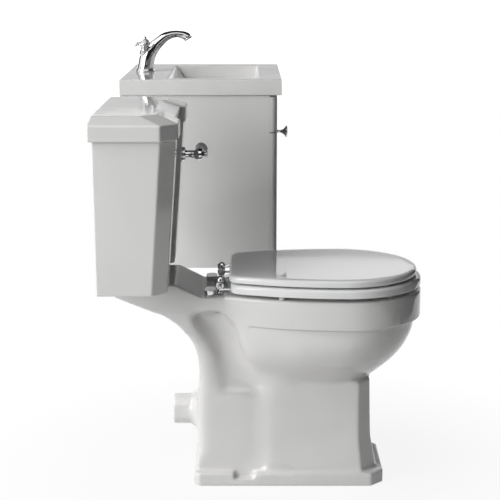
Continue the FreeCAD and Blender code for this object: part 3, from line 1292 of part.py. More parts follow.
# The tap's body and spout are one swan neck: its middle line, its lean and its radius at nine places
NECK = ("foot", "waist", "chest", "shoulder", "nape", "rise", "crest", "fall", "mouth")
neck = {}
for place_name, reach, rise, lean, radius in zip(
        NECK,
        (0, 1, 5, 12, 26.4, 51.5, 81, 98, 109.7),
        (4, 12, 34, 50, 65.7, 87.5, 95, 92.6, 85.1),
        (0, 6, 16, 33, 46, 62, 88, 112, 150),
        (21.5, 20.4, 20.2, 19, 14.8, 11.6, 8.2, 9.4, 11.8)):
    neck[place_name] = (
        size(f"neck_{place_name}_reach", reach, f"tap's {place_name} in front of the tap hole"),
        size(f"neck_{place_name}_rise", rise, f"tap's {place_name} over the basin"),
        size(f"neck_{place_name}_lean", lean, f"lean of the tap's {place_name}, in degrees"),
        size(f"neck_{place_name}_radius", radius, f"radius of the tap's {place_name}"))


def lean_at(thing, attribute, spot):
    """Stand something at a place of the neck, square to its line."""
    reach, rise, lean, radius = neck[spot]
    at = (tap_x + reach, van_y, basin_top + rise)
    setattr(thing, attribute, Placement(Vector(*map(number, at)), Rotation(Vector(0, 1, 0), lean.value)))
    for axis, amount in zip("xyz", at):
        thing.setExpression(f"{attribute}.Base.{axis}", words(amount))
    thing.setExpression(f"{attribute}.Rotation.Angle", words(lean))


def swan_neck(label):
    body = doc.addObject("PartDesign::Body", label)
    rings = []
    for spot in NECK:
        ring = sketch_on(body, f"{label}_{spot}", "XY")
        lean_at(ring, "AttachmentOffset", spot)
        circle(ring, (0, 0), neck[spot][3])
        rings.append(ring)
    skin = body.newObject("PartDesign::AdditiveLoft", label + "_skin")
    skin.Profile = rings[0]
    skin.Sections = rings[1:]
    return body


def leaning(label, sign, solid):
    """Lean a piece that was made upright at the shoulder out to one side."""
    place(solid, (tap_x, van_y, basin_top + shoulder_rise),
          Rotation(Vector(-sign, 0, 0), handle_tilt.value))
    bind(solid, **{"Placement.Rotation.Angle": handle_tilt})
    solid.Label = label
    return solid


stems = []
for side, sign in SIDES.items():
    stems.append(leaning(f"tap_stem_{side}", sign, fuse(
        f"tap_stem_solid_{side}",
        rod(f"tap_stem_rod_{side}", (0, 0, 0), "Z", handle_root, stem_radius),
        rod(f"tap_spindle_{side}", (0, 0, handle_root), "Z", handle_spindle_length,
            handle_spindle))))
keep("tap_body", fuse(
    "tap_body_solid",
    rod("tap_foot", (tap_x, van_y, basin_top), "Z", tap_flange_thick, tap_flange),
    swan_neck("tap_neck"),
    ball("tap_shoulder", (tap_x, van_y, basin_top + shoulder_rise), shoulder_radius),
    rod("tap_shank_rod", (tap_x, van_y, basin_top), "-Z", shank_length, tap_shank),
    *stems))
keep("tap_nut", tube("tap_nut_ring", (tap_x, van_y, basin_low), "-Z", tap_nut_thick, tap_nut_radius,
                     tap_shank + fit))
nozzle = tube("spout_nozzle_ring", (0, 0, 0), "Z", nozzle_length, nozzle_radius, nozzle_radius / 2)
lean_at(nozzle, "Placement", "mouth")
keep("spout_nozzle", nozzle)

for side, sign in SIDES.items():
    hub_low = handle_root + play
    hub_top = hub_low + handle_hub_length
    mid_hub = hub_low + handle_hub_length / 2
    handle_pieces = [rod(f"handle_hub_{side}", (0, 0, hub_low), "Z", handle_hub_length, handle_hub)]
    for along in ("X", "-X", "Y", "-Y"):
        reach = AIM[along].multVec(Vector(0, 0, 1))
        tip = (round(reach.x) * handle_reach, round(reach.y) * handle_reach, mid_hub)
        handle_pieces += [
            rod(f"handle_arm_{along}_{side}", (0, 0, mid_hub), along, handle_reach, handle_arm),
            ball(f"handle_ball_{along}_{side}", tip, handle_ball)]
    handle_bore = rod(f"handle_bore_{side}", (0, 0, hub_low - through), "Z",
                      handle_spindle_length + through, handle_spindle + fit)
    handle = cut(f"handle_{side}_cut", fuse(f"handle_{side}_solid", *handle_pieces), handle_bore)
    keep(f"tap_handle_{side}", leaning(f"tap_handle_{side}", sign, handle))
    cap = fuse(f"handle_cap_solid_{side}",
               rod(f"handle_cap_disc_{side}", (0, 0, hub_top), "Z", cap_thick, cap_radius),
               cone(f"handle_cap_crown_{side}", (0, 0, hub_top + cap_thick), "Z", cap_thick / 2, cap_radius,
                    cap_radius / 2))
    keep(f"handle_cap_{side}", leaning(f"handle_cap_{side}", sign, cap))


# Vanity cabinet: boards, fascia and wall plates

cabinet_low = size("cabinet_low", 348, "underside of the cabinet")
front_face = size("front_face", -16.6, "face of the drawer front and the fascia")
front_thick = size("front_thick", 18, "thickness of the drawer front and the fascia")
fascia_low = size("fascia_low", 683, "bottom of the fascia")
fascia_gap = size("fascia_gap", 3.8, "gap between the fascia and the basin")
front_gap = size("front_gap", 2, "gap between the fascia and the drawer front")
hang_rail = size("hang_rail", 100, "height of the hanging rail")
low_rail = size("low_rail", 80, "height of the lower back rail")
front_rail = size("front_rail", 22, "height of the front rail")
hang_y = size("hang_y", 150, "wall fixings from the vanity's middle")
hang_z = size("hang_z", 728, "height of the wall fixings")
hang_radius = size("hang_radius", 4, "radius of a wall fixing hole")
plate_half = size("plate_half", 24, "half size of a wall plate")
plate_thick = size("plate_thick", 3, "thickness of a wall plate")
carcass_front = front_face - front_thick
inner_half = cabinet_half - board
boards_y = (van_y - inner_half, van_y + inner_half)

keep("cabinet_sides", group("cabinet_sides_group", [
    block(f"cabinet_side_{side}", (wall_x, carcass_front), between(van_y + sign * inner_half, board, sign),
          (cabinet_low, basin_low)) for side, sign in SIDES.items()]))
keep("cabinet_bottom", block("cabinet_bottom", (wall_x, carcass_front), boards_y,
                             (cabinet_low, cabinet_low + board)))
hang_holes = [rod(f"hang_hole_{side}", (wall_x - through, van_y + sign * hang_y, hang_z), "X",
                  board + plate_thick + 2 * through, hang_radius) for side, sign in SIDES.items()]
keep("hanging_rail", cut(
    "hanging_rail_cut",
    block("hanging_rail_board", (wall_x, wall_x + board), boards_y, (basin_low - hang_rail, basin_low)),
    *hang_holes))
keep("wall_plates", group("wall_plates_group", [
    cut(f"wall_plate_{side}",
        block(f"wall_plate_block_{side}", (wall_x + board, wall_x + board + plate_thick),
              (van_y + sign * hang_y - plate_half, van_y + sign * hang_y + plate_half),
              (hang_z - plate_half, hang_z + plate_half)), hole)
    for (side, sign), hole in zip(SIDES.items(), hang_holes)]))
keep("cabinet_rails", group("cabinet_rails_group", [
    block("lower_back_rail", (wall_x, wall_x + board), boards_y,
          (cabinet_low + board, cabinet_low + board + low_rail)),
    block("front_rail", (carcass_front - board, carcass_front), boards_y,
          (fascia_low + front_gap, fascia_low + front_gap + front_rail))]))
fronts_y = (van_y - cabinet_half, van_y + cabinet_half)
keep("fascia", block("fascia", (carcass_front, front_face), fronts_y, (fascia_low, basin_low - fascia_gap)))


# Drawer on side runners, with its knob

drawer_gap = size("drawer_gap", 13, "room for a runner between the drawer and the cabinet")
drawer_board = size("drawer_board", 14, "thickness of the drawer's boards")
drawer_lift = size("drawer_lift", 24, "drawer's sides over the cabinet's underside")
drawer_height = size("drawer_height", 128, "height of the drawer's sides")
drawer_floor = size("drawer_floor", 6, "thickness of the drawer's bottom")
drawer_back_gap = size("drawer_back_gap", 8, "room behind the drawer")
runner_low = size("runner_low", 52, "runner over the cabinet's underside")
runner_height = size("runner_height", 36, "height of a runner's moving bar")
runner_web = size("runner_web", 2.5, "thickness of a fixed runner")
runner_lip = size("runner_lip", 8, "width of a fixed runner's lips")
runner_inset = size("runner_inset", 16, "runner's front end behind the cabinet's front edge")
knob_z = size("knob_z", 655, "height of the drawer's knob")
knob_length = size("knob_length", 31, "how far the knob stands out")
knob_face = size("knob_face", 15, "radius of the knob's face")
knob_neck = size("knob_neck", 3.6, "radius of the knob's neck")
knob_foot = size("knob_foot", 7.5, "radius of the knob's foot")
knob_rim = size("knob_rim", 4, "thickness of the knob's rim")
knob_screw_radius = size("knob_screw_radius", 2, "radius of the knob's screw")
knob_screw_head = size("knob_screw_head", 4.5, "radius of the knob screw's head")
knob_screw_head_thick = size("knob_screw_head_thick", 3, "thickness of the knob screw's head")
knob_screw_depth = size("knob_screw_depth", 12, "knob screw inside the knob")

drawer_half = inner_half - drawer_gap
drawer_back = wall_x + board + drawer_back_gap
drawer_low = cabinet_low + drawer_lift
drawer_z = (drawer_low, drawer_low + drawer_height)
drawer_inner = (van_y - drawer_half + drawer_board, van_y + drawer_half - drawer_board)
keep("drawer_front", cut(
    "drawer_front_cut",
    block("drawer_front_board", (carcass_front, front_face), fronts_y,
          (cabinet_low, fascia_low - front_gap)),
    rod("drawer_knob_hole", (carcass_front - through, van_y, knob_z), "X", front_thick + 2 * through,
        knob_screw_radius + slack)))
drawer_sides, fixed_runners, moving_runners = [], [], []
for side, sign in SIDES.items():
    wall_face = van_y + sign * inner_half
    drawer_face = van_y + sign * drawer_half
    bar_z = (cabinet_low + runner_low, cabinet_low + runner_low + runner_height)
    runner_x = (drawer_back, carcass_front - runner_inset)
    drawer_sides.append(block(f"drawer_side_{side}", (drawer_back, carcass_front),
                              between(drawer_face, drawer_board, -sign), drawer_z))
    lips = [block(f"runner_lip_{n}_{side}", runner_x, between(wall_face, runner_lip, -sign),
                  between(edge, runner_web, way))
            for n, (edge, way) in enumerate(((bar_z[0] - slack, -1), (bar_z[1] + slack, 1)))]
    spine = block(f"runner_spine_{side}", runner_x, between(wall_face, runner_web, -sign),
                  (bar_z[0] - slack - runner_web, bar_z[1] + slack + runner_web))
    fixed_runners.append(fuse(f"fixed_runner_{side}", spine, *lips))
    moving_runners.append(block(f"moving_runner_{side}", runner_x,
                                between(drawer_face, drawer_gap - runner_web - slack, sign), bar_z))
keep("drawer_sides", group("drawer_sides_group", drawer_sides))
keep("fixed_runners", group("fixed_runners_group", fixed_runners))
keep("moving_runners", group("moving_runners_group", moving_runners))
keep("drawer_back", block("drawer_back", (drawer_back, drawer_back + drawer_board), drawer_inner, drawer_z))
keep("drawer_bottom", block("drawer_bottom", (drawer_back + drawer_board, carcass_front), drawer_inner,
                            (drawer_low, drawer_low + drawer_floor)))
knob_solid = turned("knob_turned", [
    (0, 0), (knob_foot, 0), (knob_neck, knob_foot), (knob_neck, knob_length / 2),
    (knob_face, knob_length - knob_rim), (knob_face, knob_length), (0, knob_length),
], (front_face, van_y, knob_z), AIM["X"])
keep("drawer_knob", cut("drawer_knob_cut", knob_solid, rod(
    "knob_screw_hole", (front_face - through, van_y, knob_z), "X", knob_screw_depth + 2 * through,
    knob_screw_radius + fit)))
keep("knob_screw", fuse(
    "knob_screw_solid",
    rod("knob_screw_shank", (carcass_front, van_y, knob_z), "X", front_thick + knob_screw_depth,
        knob_screw_radius),
    rod("knob_screw_head_disc", (carcass_front, van_y, knob_z), "-X", knob_screw_head_thick,
        knob_screw_head)))


# Check every object, then write one file for each sub-part

doc.recompute()
failed = [thing.Label for thing in doc.Objects if {"Invalid", "Error"} & set(thing.State)]
for thing in nodes:
    if thing.Shape.isNull() or not thing.Shape.isValid() or not thing.Shape.Solids:
        failed.append(thing.Label)
if failed:
    raise RuntimeError("these objects failed: " + ", ".join(failed))
os.makedirs("parts", exist_ok=True)
for thing in nodes:
    thing.Shape.exportStep(f"parts/{thing.Label}.step")
    print(f"{thing.Label}: {len(thing.Shape.Solids)} solids, {thing.Shape.Volume / 1000:.1f} cm3")
print(len(nodes), "sub-parts,", len(sizes), "sizes")
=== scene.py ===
# %% [markdown]
# # A close-coupled toilet and a wall-hung vanity
# A suite in white glazed ceramic, with a gloss seat, chrome fittings and a lacquered vanity.
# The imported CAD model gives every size. This lesson dresses it: soft glazed edges, turned metal,
# and finishes that change a little over the surface. Sizes in the meshes are in millimetres until
# a piece is finished, because that is how a bathroom maker writes them. Only the pan, a remeshed
# copy of its solid, stays in metres.

import json
import math

import bmesh
import bpy
from mathutils import Matrix, Vector


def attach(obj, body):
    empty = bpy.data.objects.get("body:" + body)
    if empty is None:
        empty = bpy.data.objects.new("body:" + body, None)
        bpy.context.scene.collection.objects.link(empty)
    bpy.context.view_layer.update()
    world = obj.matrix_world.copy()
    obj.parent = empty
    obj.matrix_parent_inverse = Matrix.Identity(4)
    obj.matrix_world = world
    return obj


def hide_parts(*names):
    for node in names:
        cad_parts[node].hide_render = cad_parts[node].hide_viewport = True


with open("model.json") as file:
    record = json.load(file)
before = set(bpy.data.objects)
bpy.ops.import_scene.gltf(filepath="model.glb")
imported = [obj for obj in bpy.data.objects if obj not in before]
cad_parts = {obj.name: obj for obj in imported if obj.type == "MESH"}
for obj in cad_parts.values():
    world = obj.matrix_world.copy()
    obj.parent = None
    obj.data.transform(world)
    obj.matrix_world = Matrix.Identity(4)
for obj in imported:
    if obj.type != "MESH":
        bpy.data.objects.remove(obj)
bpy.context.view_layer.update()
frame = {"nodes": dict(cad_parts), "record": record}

# %% [markdown]
# ## The camera
# The photograph looks at the suite from the toilet's side, a little from above, with a long lens.
# A long lens far away keeps upright lines upright, so the camera only needs a small tilt.

# %% Camera
LENS = 96.48
CAMERA_PLACE = (-0.082, -2.7706, 1.0882)
DOWN_TILT = 12.21

scene = bpy.context.scene
lens = bpy.data.cameras.new("long lens")
lens.lens = LENS
lens.sensor_width = 36
camera = bpy.data.objects.new("camera", lens)
camera.location = CAMERA_PLACE
camera.rotation_euler = (math.radians(90 - DOWN_TILT), 0, 0)
scene.collection.objects.link(camera)
scene.camera = camera
scene.view_settings.view_transform = "Standard"
print("camera at", tuple(camera.location))

# %% [markdown]
# ## Light and floor
# White glaze needs a soft light from one side, or every face turns the same white. A large lamp
# stands to the left of the camera, a second one hangs higher and nearer to the suite, and a weak,
# slightly cool world light fills the rest. The world is plain white to the camera and to mirrors,
# so the background stays white without more light on the suite.

# %% World
FILL_STRENGTH = 0.24
PAPER_STRENGTH = 1.3

world = bpy.data.worlds.new("studio")
scene.world = world
world.use_nodes = True
sky = world.node_tree
fill = sky.nodes["Background"]
fill.inputs["Color"].default_value = (0.95, 0.97, 1.0, 1)
fill.inputs["Strength"].default_value = FILL_STRENGTH
paper = sky.nodes.new("ShaderNodeBackground")
paper.inputs["Color"].default_value = (1, 1, 1, 1)
paper.inputs["Strength"].default_value = PAPER_STRENGTH


def seen_directly(tree):
    """1 for rays from the camera, from a mirror or through glass, else 0."""
    path = tree.nodes.new("ShaderNodeLightPath")
    total = path.outputs["Is Camera Ray"]
    for other in ("Is Glossy Ray", "Is Transmission Ray"):
        most = tree.nodes.new("ShaderNodeMath")
        most.operation = "MAXIMUM"
        tree.links.new(total, most.inputs[0])
        tree.links.new(path.outputs[other], most.inputs[1])
        total = most.outputs[0]
    return total


either = sky.nodes.new("ShaderNodeMixShader")
sky.links.new(seen_directly(sky), either.inputs["Fac"])
sky.links.new(fill.outputs[0], either.inputs[1])
sky.links.new(paper.outputs[0], either.inputs[2])
sky.links.new(either.outputs[0], sky.nodes["World Output"].inputs["Surface"])
print("world fill", FILL_STRENGTH)

# %% Lamps
MIDDLE = Vector((-0.1, 0.3, 0.45))


def softbox(name, place, side, power):
    lamp = bpy.data.lights.new(name, "AREA")
    lamp.shape = "RECTANGLE"
    lamp.size = lamp.size_y = side
    lamp.energy = power
    stand = bpy.data.objects.new(name, lamp)
    stand.location = place
    stand.rotation_euler = (MIDDLE - Vector(place)).to_track_quat("-Z", "Y").to_euler()
    scene.collection.objects.link(stand)


softbox("key lamp", (-3.2, -2.6, 1.8), side=2.4, power=106)
softbox("top lamp", (-2.2, -0.7, 3.1), side=2.0, power=80)

# %% [markdown]
# The floor is a matt sheet that takes a shadow. To the camera it mostly glows white: nine tenths
# near the suite, so that a faint shadow stays, and all of it further out, where the floor runs into
# the white background.

# %% Floor
FLOOR_GREY = 0.7
NEAR_GLOW = 0.9
FADE_FROM, FADE_TO = 0.30, 0.75


def plain_sheet(name, width, depth, matrix):
    """A flat sheet that only belongs to the studio."""
    bm = bmesh.new()
    bmesh.ops.create_grid(bm, x_segments=1, y_segments=1, size=0.5,
                          matrix=matrix @ Matrix.Diagonal((width, depth, 1, 1)))
    mesh = bpy.data.meshes.new(name)
    bm.to_mesh(mesh)
    bm.free()
    sheet = bpy.data.objects.new(name, mesh)
    scene.collection.objects.link(sheet)
    return sheet


pale = bpy.data.materials.new("pale floor")
pale.use_nodes = True
tree = pale.node_tree
tree.nodes.remove(tree.nodes["Principled BSDF"])
matt = tree.nodes.new("ShaderNodeBsdfDiffuse")
matt.inputs["Color"].default_value = (FLOOR_GREY, FLOOR_GREY, FLOOR_GREY, 1)
glow = tree.nodes.new("ShaderNodeEmission")
glow.inputs["Strength"].default_value = 1.0
away = tree.nodes.new("ShaderNodeVectorMath")
away.operation = "LENGTH"
tree.links.new(tree.nodes.new("ShaderNodeTexCoord").outputs["Object"], away.inputs[0])
fade = tree.nodes.new("ShaderNodeMapRange")
fade.inputs["From Min"].default_value = FADE_FROM
fade.inputs["From Max"].default_value = FADE_TO
fade.inputs["To Min"].default_value = NEAR_GLOW
tree.links.new(away.outputs["Value"], fade.inputs["Value"])
share = tree.nodes.new("ShaderNodeMath")
share.operation = "MULTIPLY"
tree.links.new(seen_directly(tree), share.inputs[0])
tree.links.new(fade.outputs[0], share.inputs[1])
blend = tree.nodes.new("ShaderNodeMixShader")
tree.links.new(share.outputs[0], blend.inputs["Fac"])
tree.links.new(matt.outputs[0], blend.inputs[1])
tree.links.new(glow.outputs[0], blend.inputs[2])
tree.links.new(blend.outputs[0], tree.nodes["Material Output"].inputs["Surface"])
floor = plain_sheet("floor", 14, 14, Matrix.Translation((0, 1, -0.0005)))
floor.data.materials.append(pale)
print("floor glow near the suite", NEAR_GLOW)

# %% [markdown]
# Chrome shows only what stands around it. Black cards on all sides give it dark bands, and a narrow
# grey strip behind the suite gives it one soft middle tone. The camera doesn't see the cards.

# %% Cards for the chrome to mirror


def matt_card(name, shade, glow=0.0):
    paint = bpy.data.materials.new(name)
    paint.use_nodes = True
    shader = paint.node_tree.nodes["Principled BSDF"]
    shader.inputs["Base Color"].default_value = (shade, shade, shade, 1)
    shader.inputs["Roughness"].default_value = 0.9
    shader.inputs["Emission Color"].default_value = (1, 1, 1, 1)
    shader.inputs["Emission Strength"].default_value = glow
    return paint


black = matt_card("black card", 0.012)
stand_up = Matrix.Rotation(math.radians(90), 4, "X")
face_left = Matrix.Rotation(math.radians(90), 4, "Y")
cards = [
    plain_sheet("right card", 2.6, 5.0, Matrix.Translation((1.5, -0.4, 1.0)) @ face_left),
    plain_sheet("near card", 5.0, 3.2, Matrix.Translation((0.7, -4.2, 1.5)) @ stand_up),
    plain_sheet("ceiling card", 5.0, 4.8, Matrix.Translation((0.0, 1.3, 3.5))),
    plain_sheet("back card", 5.0, 2.4, Matrix.Translation((-0.3, 3.6, 2.9)) @ stand_up),
    plain_sheet("left card", 2.2, 1.8, Matrix.Translation((-2.6, 2.2, 1.4)) @ face_left),
]
for card in cards:
    card.data.materials.append(black)
lit = matt_card("lit grey card", 0.0, glow=0.6)
strip_place = Matrix.Translation((-0.3, 3.6, 1.09)) @ stand_up
cards.append(plain_sheet("grey card", 5.0, 0.30, strip_place))
cards[-1].data.materials.append(lit)
for card in cards:
    card.visible_camera = False

# %% [markdown]
# ## Finishes
# No real surface is one flat colour. A glaze pools a little, lacquer has a fine skin, chrome keeps
# the marks of a cloth. One node group gives every finish the same three patterns, between 0 and 1:
# a slow cloud, a fine grain and a grain pulled into streaks. Each material then decides what they
# change, and how much.

# %% The shared pattern group
patterns = bpy.data.node_groups.new("surface patterns", "ShaderNodeTree")
for label, value in (("Cloud Scale", 6.0), ("Grain Scale", 400.0), ("Stretch", 1.0)):
    socket = patterns.interface.new_socket(label, in_out="INPUT", socket_type="NodeSocketFloat")
    socket.default_value = value
for label in ("Cloud", "Grain", "Streak"):
    patterns.interface.new_socket(label, in_out="OUTPUT", socket_type="NodeSocketFloat")
inside = patterns.nodes.new("NodeGroupInput")
outside = patterns.nodes.new("NodeGroupOutput")
spot = patterns.nodes.new("ShaderNodeTexCoord")


def speckle(detail, scale_from, vector):
    noise = patterns.nodes.new("ShaderNodeTexNoise")
    noise.inputs["Detail"].default_value = detail
    patterns.links.new(vector, noise.inputs["Vector"])
    patterns.links.new(inside.outputs[scale_from], noise.inputs["Scale"])
    return noise.outputs["Fac"]


pulled = patterns.nodes.new("ShaderNodeCombineXYZ")
pulled.inputs["Y"].default_value = 1
pulled.inputs["Z"].default_value = 1
patterns.links.new(inside.outputs["Stretch"], pulled.inputs["X"])
brushed = patterns.nodes.new("ShaderNodeVectorMath")
brushed.operation = "MULTIPLY"
patterns.links.new(spot.outputs["Object"], brushed.inputs[0])
patterns.links.new(pulled.outputs[0], brushed.inputs[1])
patterns.links.new(speckle(2.0, "Cloud Scale", spot.outputs["Object"]), outside.inputs["Cloud"])
patterns.links.new(speckle(3.0, "Grain Scale", spot.outputs["Object"]), outside.inputs["Grain"])
patterns.links.new(speckle(2.0, "Grain Scale", brushed.outputs[0]), outside.inputs["Streak"])
print("group", patterns.name, [s.name for s in patterns.interface.items_tree])

# %% [markdown]
# A finish is a Principled shader fed by that group. The cloud mixes two close tints and moves the
# gloss between two values, and the grain or streak lifts a very low bump.

# %% A maker of finishes


def finish(name, tints, gloss, metal=0.0, cloud=6.0, grain=400.0, stretch=1.0, gloss_from="Cloud",
           bump_from="Grain", bump=0.00002, tint_from="Cloud"):
    material = bpy.data.materials.new(name)
    material.use_nodes = True
    tree = material.node_tree
    shader = tree.nodes["Principled BSDF"]
    shader.inputs["Metallic"].default_value = metal
    play = tree.nodes.new("ShaderNodeGroup")
    play.node_tree = patterns
    play.inputs["Cloud Scale"].default_value = cloud
    play.inputs["Grain Scale"].default_value = grain
    play.inputs["Stretch"].default_value = stretch
    ramp = tree.nodes.new("ShaderNodeValToRGB")
    ramp.color_ramp.elements[0].position = 0.32
    ramp.color_ramp.elements[1].position = 0.68
    for stop, tint in zip(ramp.color_ramp.elements, tints):
        stop.color = (*tint, 1)
    tree.links.new(play.outputs[tint_from], ramp.inputs["Fac"])
    tree.links.new(ramp.outputs["Color"], shader.inputs["Base Color"])
    span = tree.nodes.new("ShaderNodeMapRange")
    span.inputs["From Min"].default_value = 0.3
    span.inputs["From Max"].default_value = 0.7
    span.inputs["To Min"].default_value, span.inputs["To Max"].default_value = gloss
    tree.links.new(play.outputs[gloss_from], span.inputs["Value"])
    tree.links.new(span.outputs[0], shader.inputs["Roughness"])
    lift = tree.nodes.new("ShaderNodeBump")
    lift.inputs["Distance"].default_value = bump
    tree.links.new(play.outputs[bump_from], lift.inputs["Height"])
    tree.links.new(lift.outputs["Normal"], shader.inputs["Normal"])
    return material


# %% [markdown]
# Ceramic and seat are both white, but not the same: the glaze is a little warmer and wavier, the
# seat whiter and glossier. Lacquer and board are duller whites, and the metals differ in tint and
# in how far they spread the light.

# %% The nine finishes
FINISH = {
    "ceramic": finish("glazed ceramic", ((0.74, 0.735, 0.72), (0.78, 0.775, 0.765)), (0.045, 0.10),
                      cloud=7, grain=30, bump=0.00025),
    "seat": finish("gloss seat", ((0.85, 0.85, 0.85), (0.87, 0.87, 0.875)), (0.025, 0.06),
                   cloud=5, grain=120, bump=0.00003),
    "chrome": finish("polished chrome", ((0.60, 0.605, 0.615), (0.70, 0.705, 0.71)), (0.02, 0.07),
                     metal=1.0, cloud=38, grain=60, bump=0.00003),
    "lacquer": finish("white lacquer", ((0.735, 0.73, 0.72), (0.765, 0.76, 0.75)), (0.13, 0.20),
                      cloud=4, grain=260, bump=0.00003),
    "board": finish("white board", ((0.70, 0.69, 0.67), (0.76, 0.75, 0.73)), (0.38, 0.52),
                    cloud=12, grain=900, tint_from="Grain", bump=0.00003),
    "steel": finish("brushed steel", ((0.48, 0.49, 0.50), (0.62, 0.63, 0.64)), (0.26, 0.42),
                    metal=1.0, grain=700, stretch=0.04, gloss_from="Streak", bump_from="Streak",
                    tint_from="Streak"),
    "brass": finish("plain brass", ((0.60, 0.44, 0.20), (0.78, 0.60, 0.30)), (0.22, 0.40),
                    metal=1.0, cloud=40, grain=500),
    "valve_plastic": finish("moulded plastic", ((0.70, 0.71, 0.72), (0.76, 0.77, 0.78)),
                            (0.40, 0.52), cloud=14, grain=1100, bump=0.00004),
    "rubber": finish("soft buffer rubber", ((0.66, 0.66, 0.65), (0.72, 0.72, 0.71)),
                     (0.50, 0.66), cloud=30, grain=1500, bump=0.00005),
}
SLOT = {part["node"]: part["material_slot"] for part in frame["record"]["subparts"]}
for node, obj in frame["nodes"].items():
    obj.data.materials.clear()
    obj.data.materials.append(FINISH[SLOT[node]])
print("finishes", len(FINISH), "on", len(SLOT), "nodes")

# %% [markdown]
# ## Tools of the bench
# A few small helpers do most of the shaping: a block, a turned piece, a rounding of edges, and the
# last step that puts a mesh on its body and in place of its CAD solids.

# %% Block, turning and rounding
MM = 0.001
SIDES = {"near": -1, "far": 1}


def block(bm, low, high):
    """A block between two corners, in millimetres."""
    middle = [(a + b) / 2 for a, b in zip(low, high)]
    extent = [b - a for a, b in zip(low, high)]
    matrix = Matrix.Translation(middle) @ Matrix.Diagonal((*extent, 1))
    return bmesh.ops.create_cube(bm, size=1, matrix=matrix)["verts"]


def turned(bm, profile, foot=(0, 0, 0), axis="Z", steps=40, softness=0.0):
    """Spin a profile of (along the axis, radius) pairs, its inner corners softened first."""
    made = [bmesh.ops.create_vert(bm, co=(radius, 0, along))["vert"][0]
            for along, radius in profile]
    lines = [bm.edges.new(pair) for pair in zip(made, made[1:])]
    wire = made + lines
    if softness:
        before = set(bm.verts) - set(made)
        bmesh.ops.bevel(bm, geom=made[1:-1], offset=softness, affect="VERTICES", segments=3,
                        profile=0.5, material=-1, clamp_overlap=True)
        kept = [v for v in bm.verts if v not in before]
        wire = kept + list({e for v in kept for e in v.link_edges})
    known = set(bm.verts) - {v for v in wire if isinstance(v, bmesh.types.BMVert)}
    bmesh.ops.spin(bm, geom=wire, cent=(0, 0, 0), axis=(0, 0, 1), angle=math.tau, steps=steps,
                   use_merge=True)
    fresh = [v for v in bm.verts if v not in known]
    bmesh.ops.remove_doubles(bm, verts=fresh, dist=0.001)
    fresh = [v for v in bm.verts if v not in known]
    turns = {"Z": Matrix(), "X": Matrix.Rotation(math.radians(90), 4, "Y"),
             "Y": Matrix.Rotation(math.radians(-90), 4, "X")}
    bmesh.ops.transform(bm, matrix=Matrix.Translation(foot) @ turns[axis], verts=fresh)
    return fresh


def creases(bm, degrees, shortest=0.0):
    """Edges that turn by more than some degrees and are long enough to round."""
    limit = math.radians(degrees)
    return [e for e in bm.edges
            if e.is_manifold and e.calc_face_angle(0) > limit and e.calc_length() > shortest]


def round_off(bm, edges, width, segments=3):
    return bmesh.ops.bevel(bm, geom=list(edges), offset=width, affect="EDGES", segments=segments,
                           profile=0.5, material=-1, clamp_overlap=True)


# %% The last step of every piece


def piece(name, bm, body, nodes, slot, flat_faces=False, scale=MM, crease=42):
    """Make the mesh an object, dress it, and let it stand for its CAD solids."""
    bmesh.ops.scale(bm, vec=(scale,) * 3, verts=bm.verts)
    bmesh.ops.recalc_face_normals(bm, faces=bm.faces)
    mesh = bpy.data.meshes.new(name)
    bm.to_mesh(mesh)
    bm.free()
    mesh.shade_smooth()
    mesh.set_sharp_from_angle(angle=math.radians(crease))
    mesh.materials.append(FINISH[slot])
    made = bpy.data.objects.new(name, mesh)
    scene.collection.objects.link(made)
    if flat_faces:
        made.modifiers.new("flat faces stay flat", "WEIGHTED_NORMAL").keep_sharp = True
    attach(made, body)
    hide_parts(*nodes)
    print(name, len(mesh.polygons), "faces")
    return made


# %% [markdown]
# ## The cast pieces
# Pan, cistern and basin are slip-cast: clay has no sharp edge, and the glaze rounds what is left.
# Flat walls keep their CAD shape, so a merged copy of the solid is cleaned of its triangles and
# only its long edges are bevelled. Short edges round the holes stay as they are. The cabinet's
# sides are board, and get a finer bevel the same way.

# %% Softened copies of flat-walled solids
LONG_EDGE = 60
FAINTEST_EDGE = 12


def clean_copy(node):
    """A merged copy of a CAD solid, its flat faces joined up, in millimetres."""
    bm = bmesh.new()
    bm.from_mesh(frame["nodes"][node].data)
    bmesh.ops.scale(bm, vec=(1 / MM,) * 3, verts=bm.verts)
    bmesh.ops.remove_doubles(bm, verts=bm.verts, dist=0.01)
    bmesh.ops.dissolve_limit(bm, angle_limit=math.radians(1.0), verts=bm.verts, edges=bm.edges)
    return bm


def softened(node, body, width, shortest=LONG_EDGE, segments=3):
    bm = clean_copy(node)
    round_off(bm, creases(bm, FAINTEST_EDGE, shortest), width, segments)
    return piece(node + "_soft", bm, body, [node], SLOT[node], flat_faces=True)


softened("cistern_tank", "root", width=3.2, shortest=30)
softened("cistern_lid", "root", width=3.4, shortest=30)
softened("basin", "root", width=2.4)
softened("cabinet_sides", "root", width=1.2, segments=2)

# %% [markdown]
# The fascia and the drawer front have full round ends: seen from the side, light rolls off them
# into the dark. Only their two upright front edges get that wide bevel.

# %% Fascia and drawer front
FRONT_FACE = -16.6
END_ROUND = 13
EASED = 1.0


def front_panel(node, body):
    bm = clean_copy(node)
    ends = [e for e in creases(bm, 60, LONG_EDGE)
            if abs(e.verts[0].co.z - e.verts[1].co.z) > LONG_EDGE
            and min(v.co.x for v in e.verts) > FRONT_FACE - 1]
    round_off(bm, ends, END_ROUND, 6)
    round_off(bm, creases(bm, 50, LONG_EDGE), EASED, 2)
    return piece(node + "_lacquered", bm, body, [node], "lacquer", flat_faces=True)


front_panel("fascia", "root")
front_panel("drawer_front", "drawer")

# %% [markdown]
# The pan has few flat walls: bowl, web and rib run into each other in wide soft curves. A voxel
# remesh gives a copy of the solid one even skin, and smoothing then rounds it.

# %% One even skin


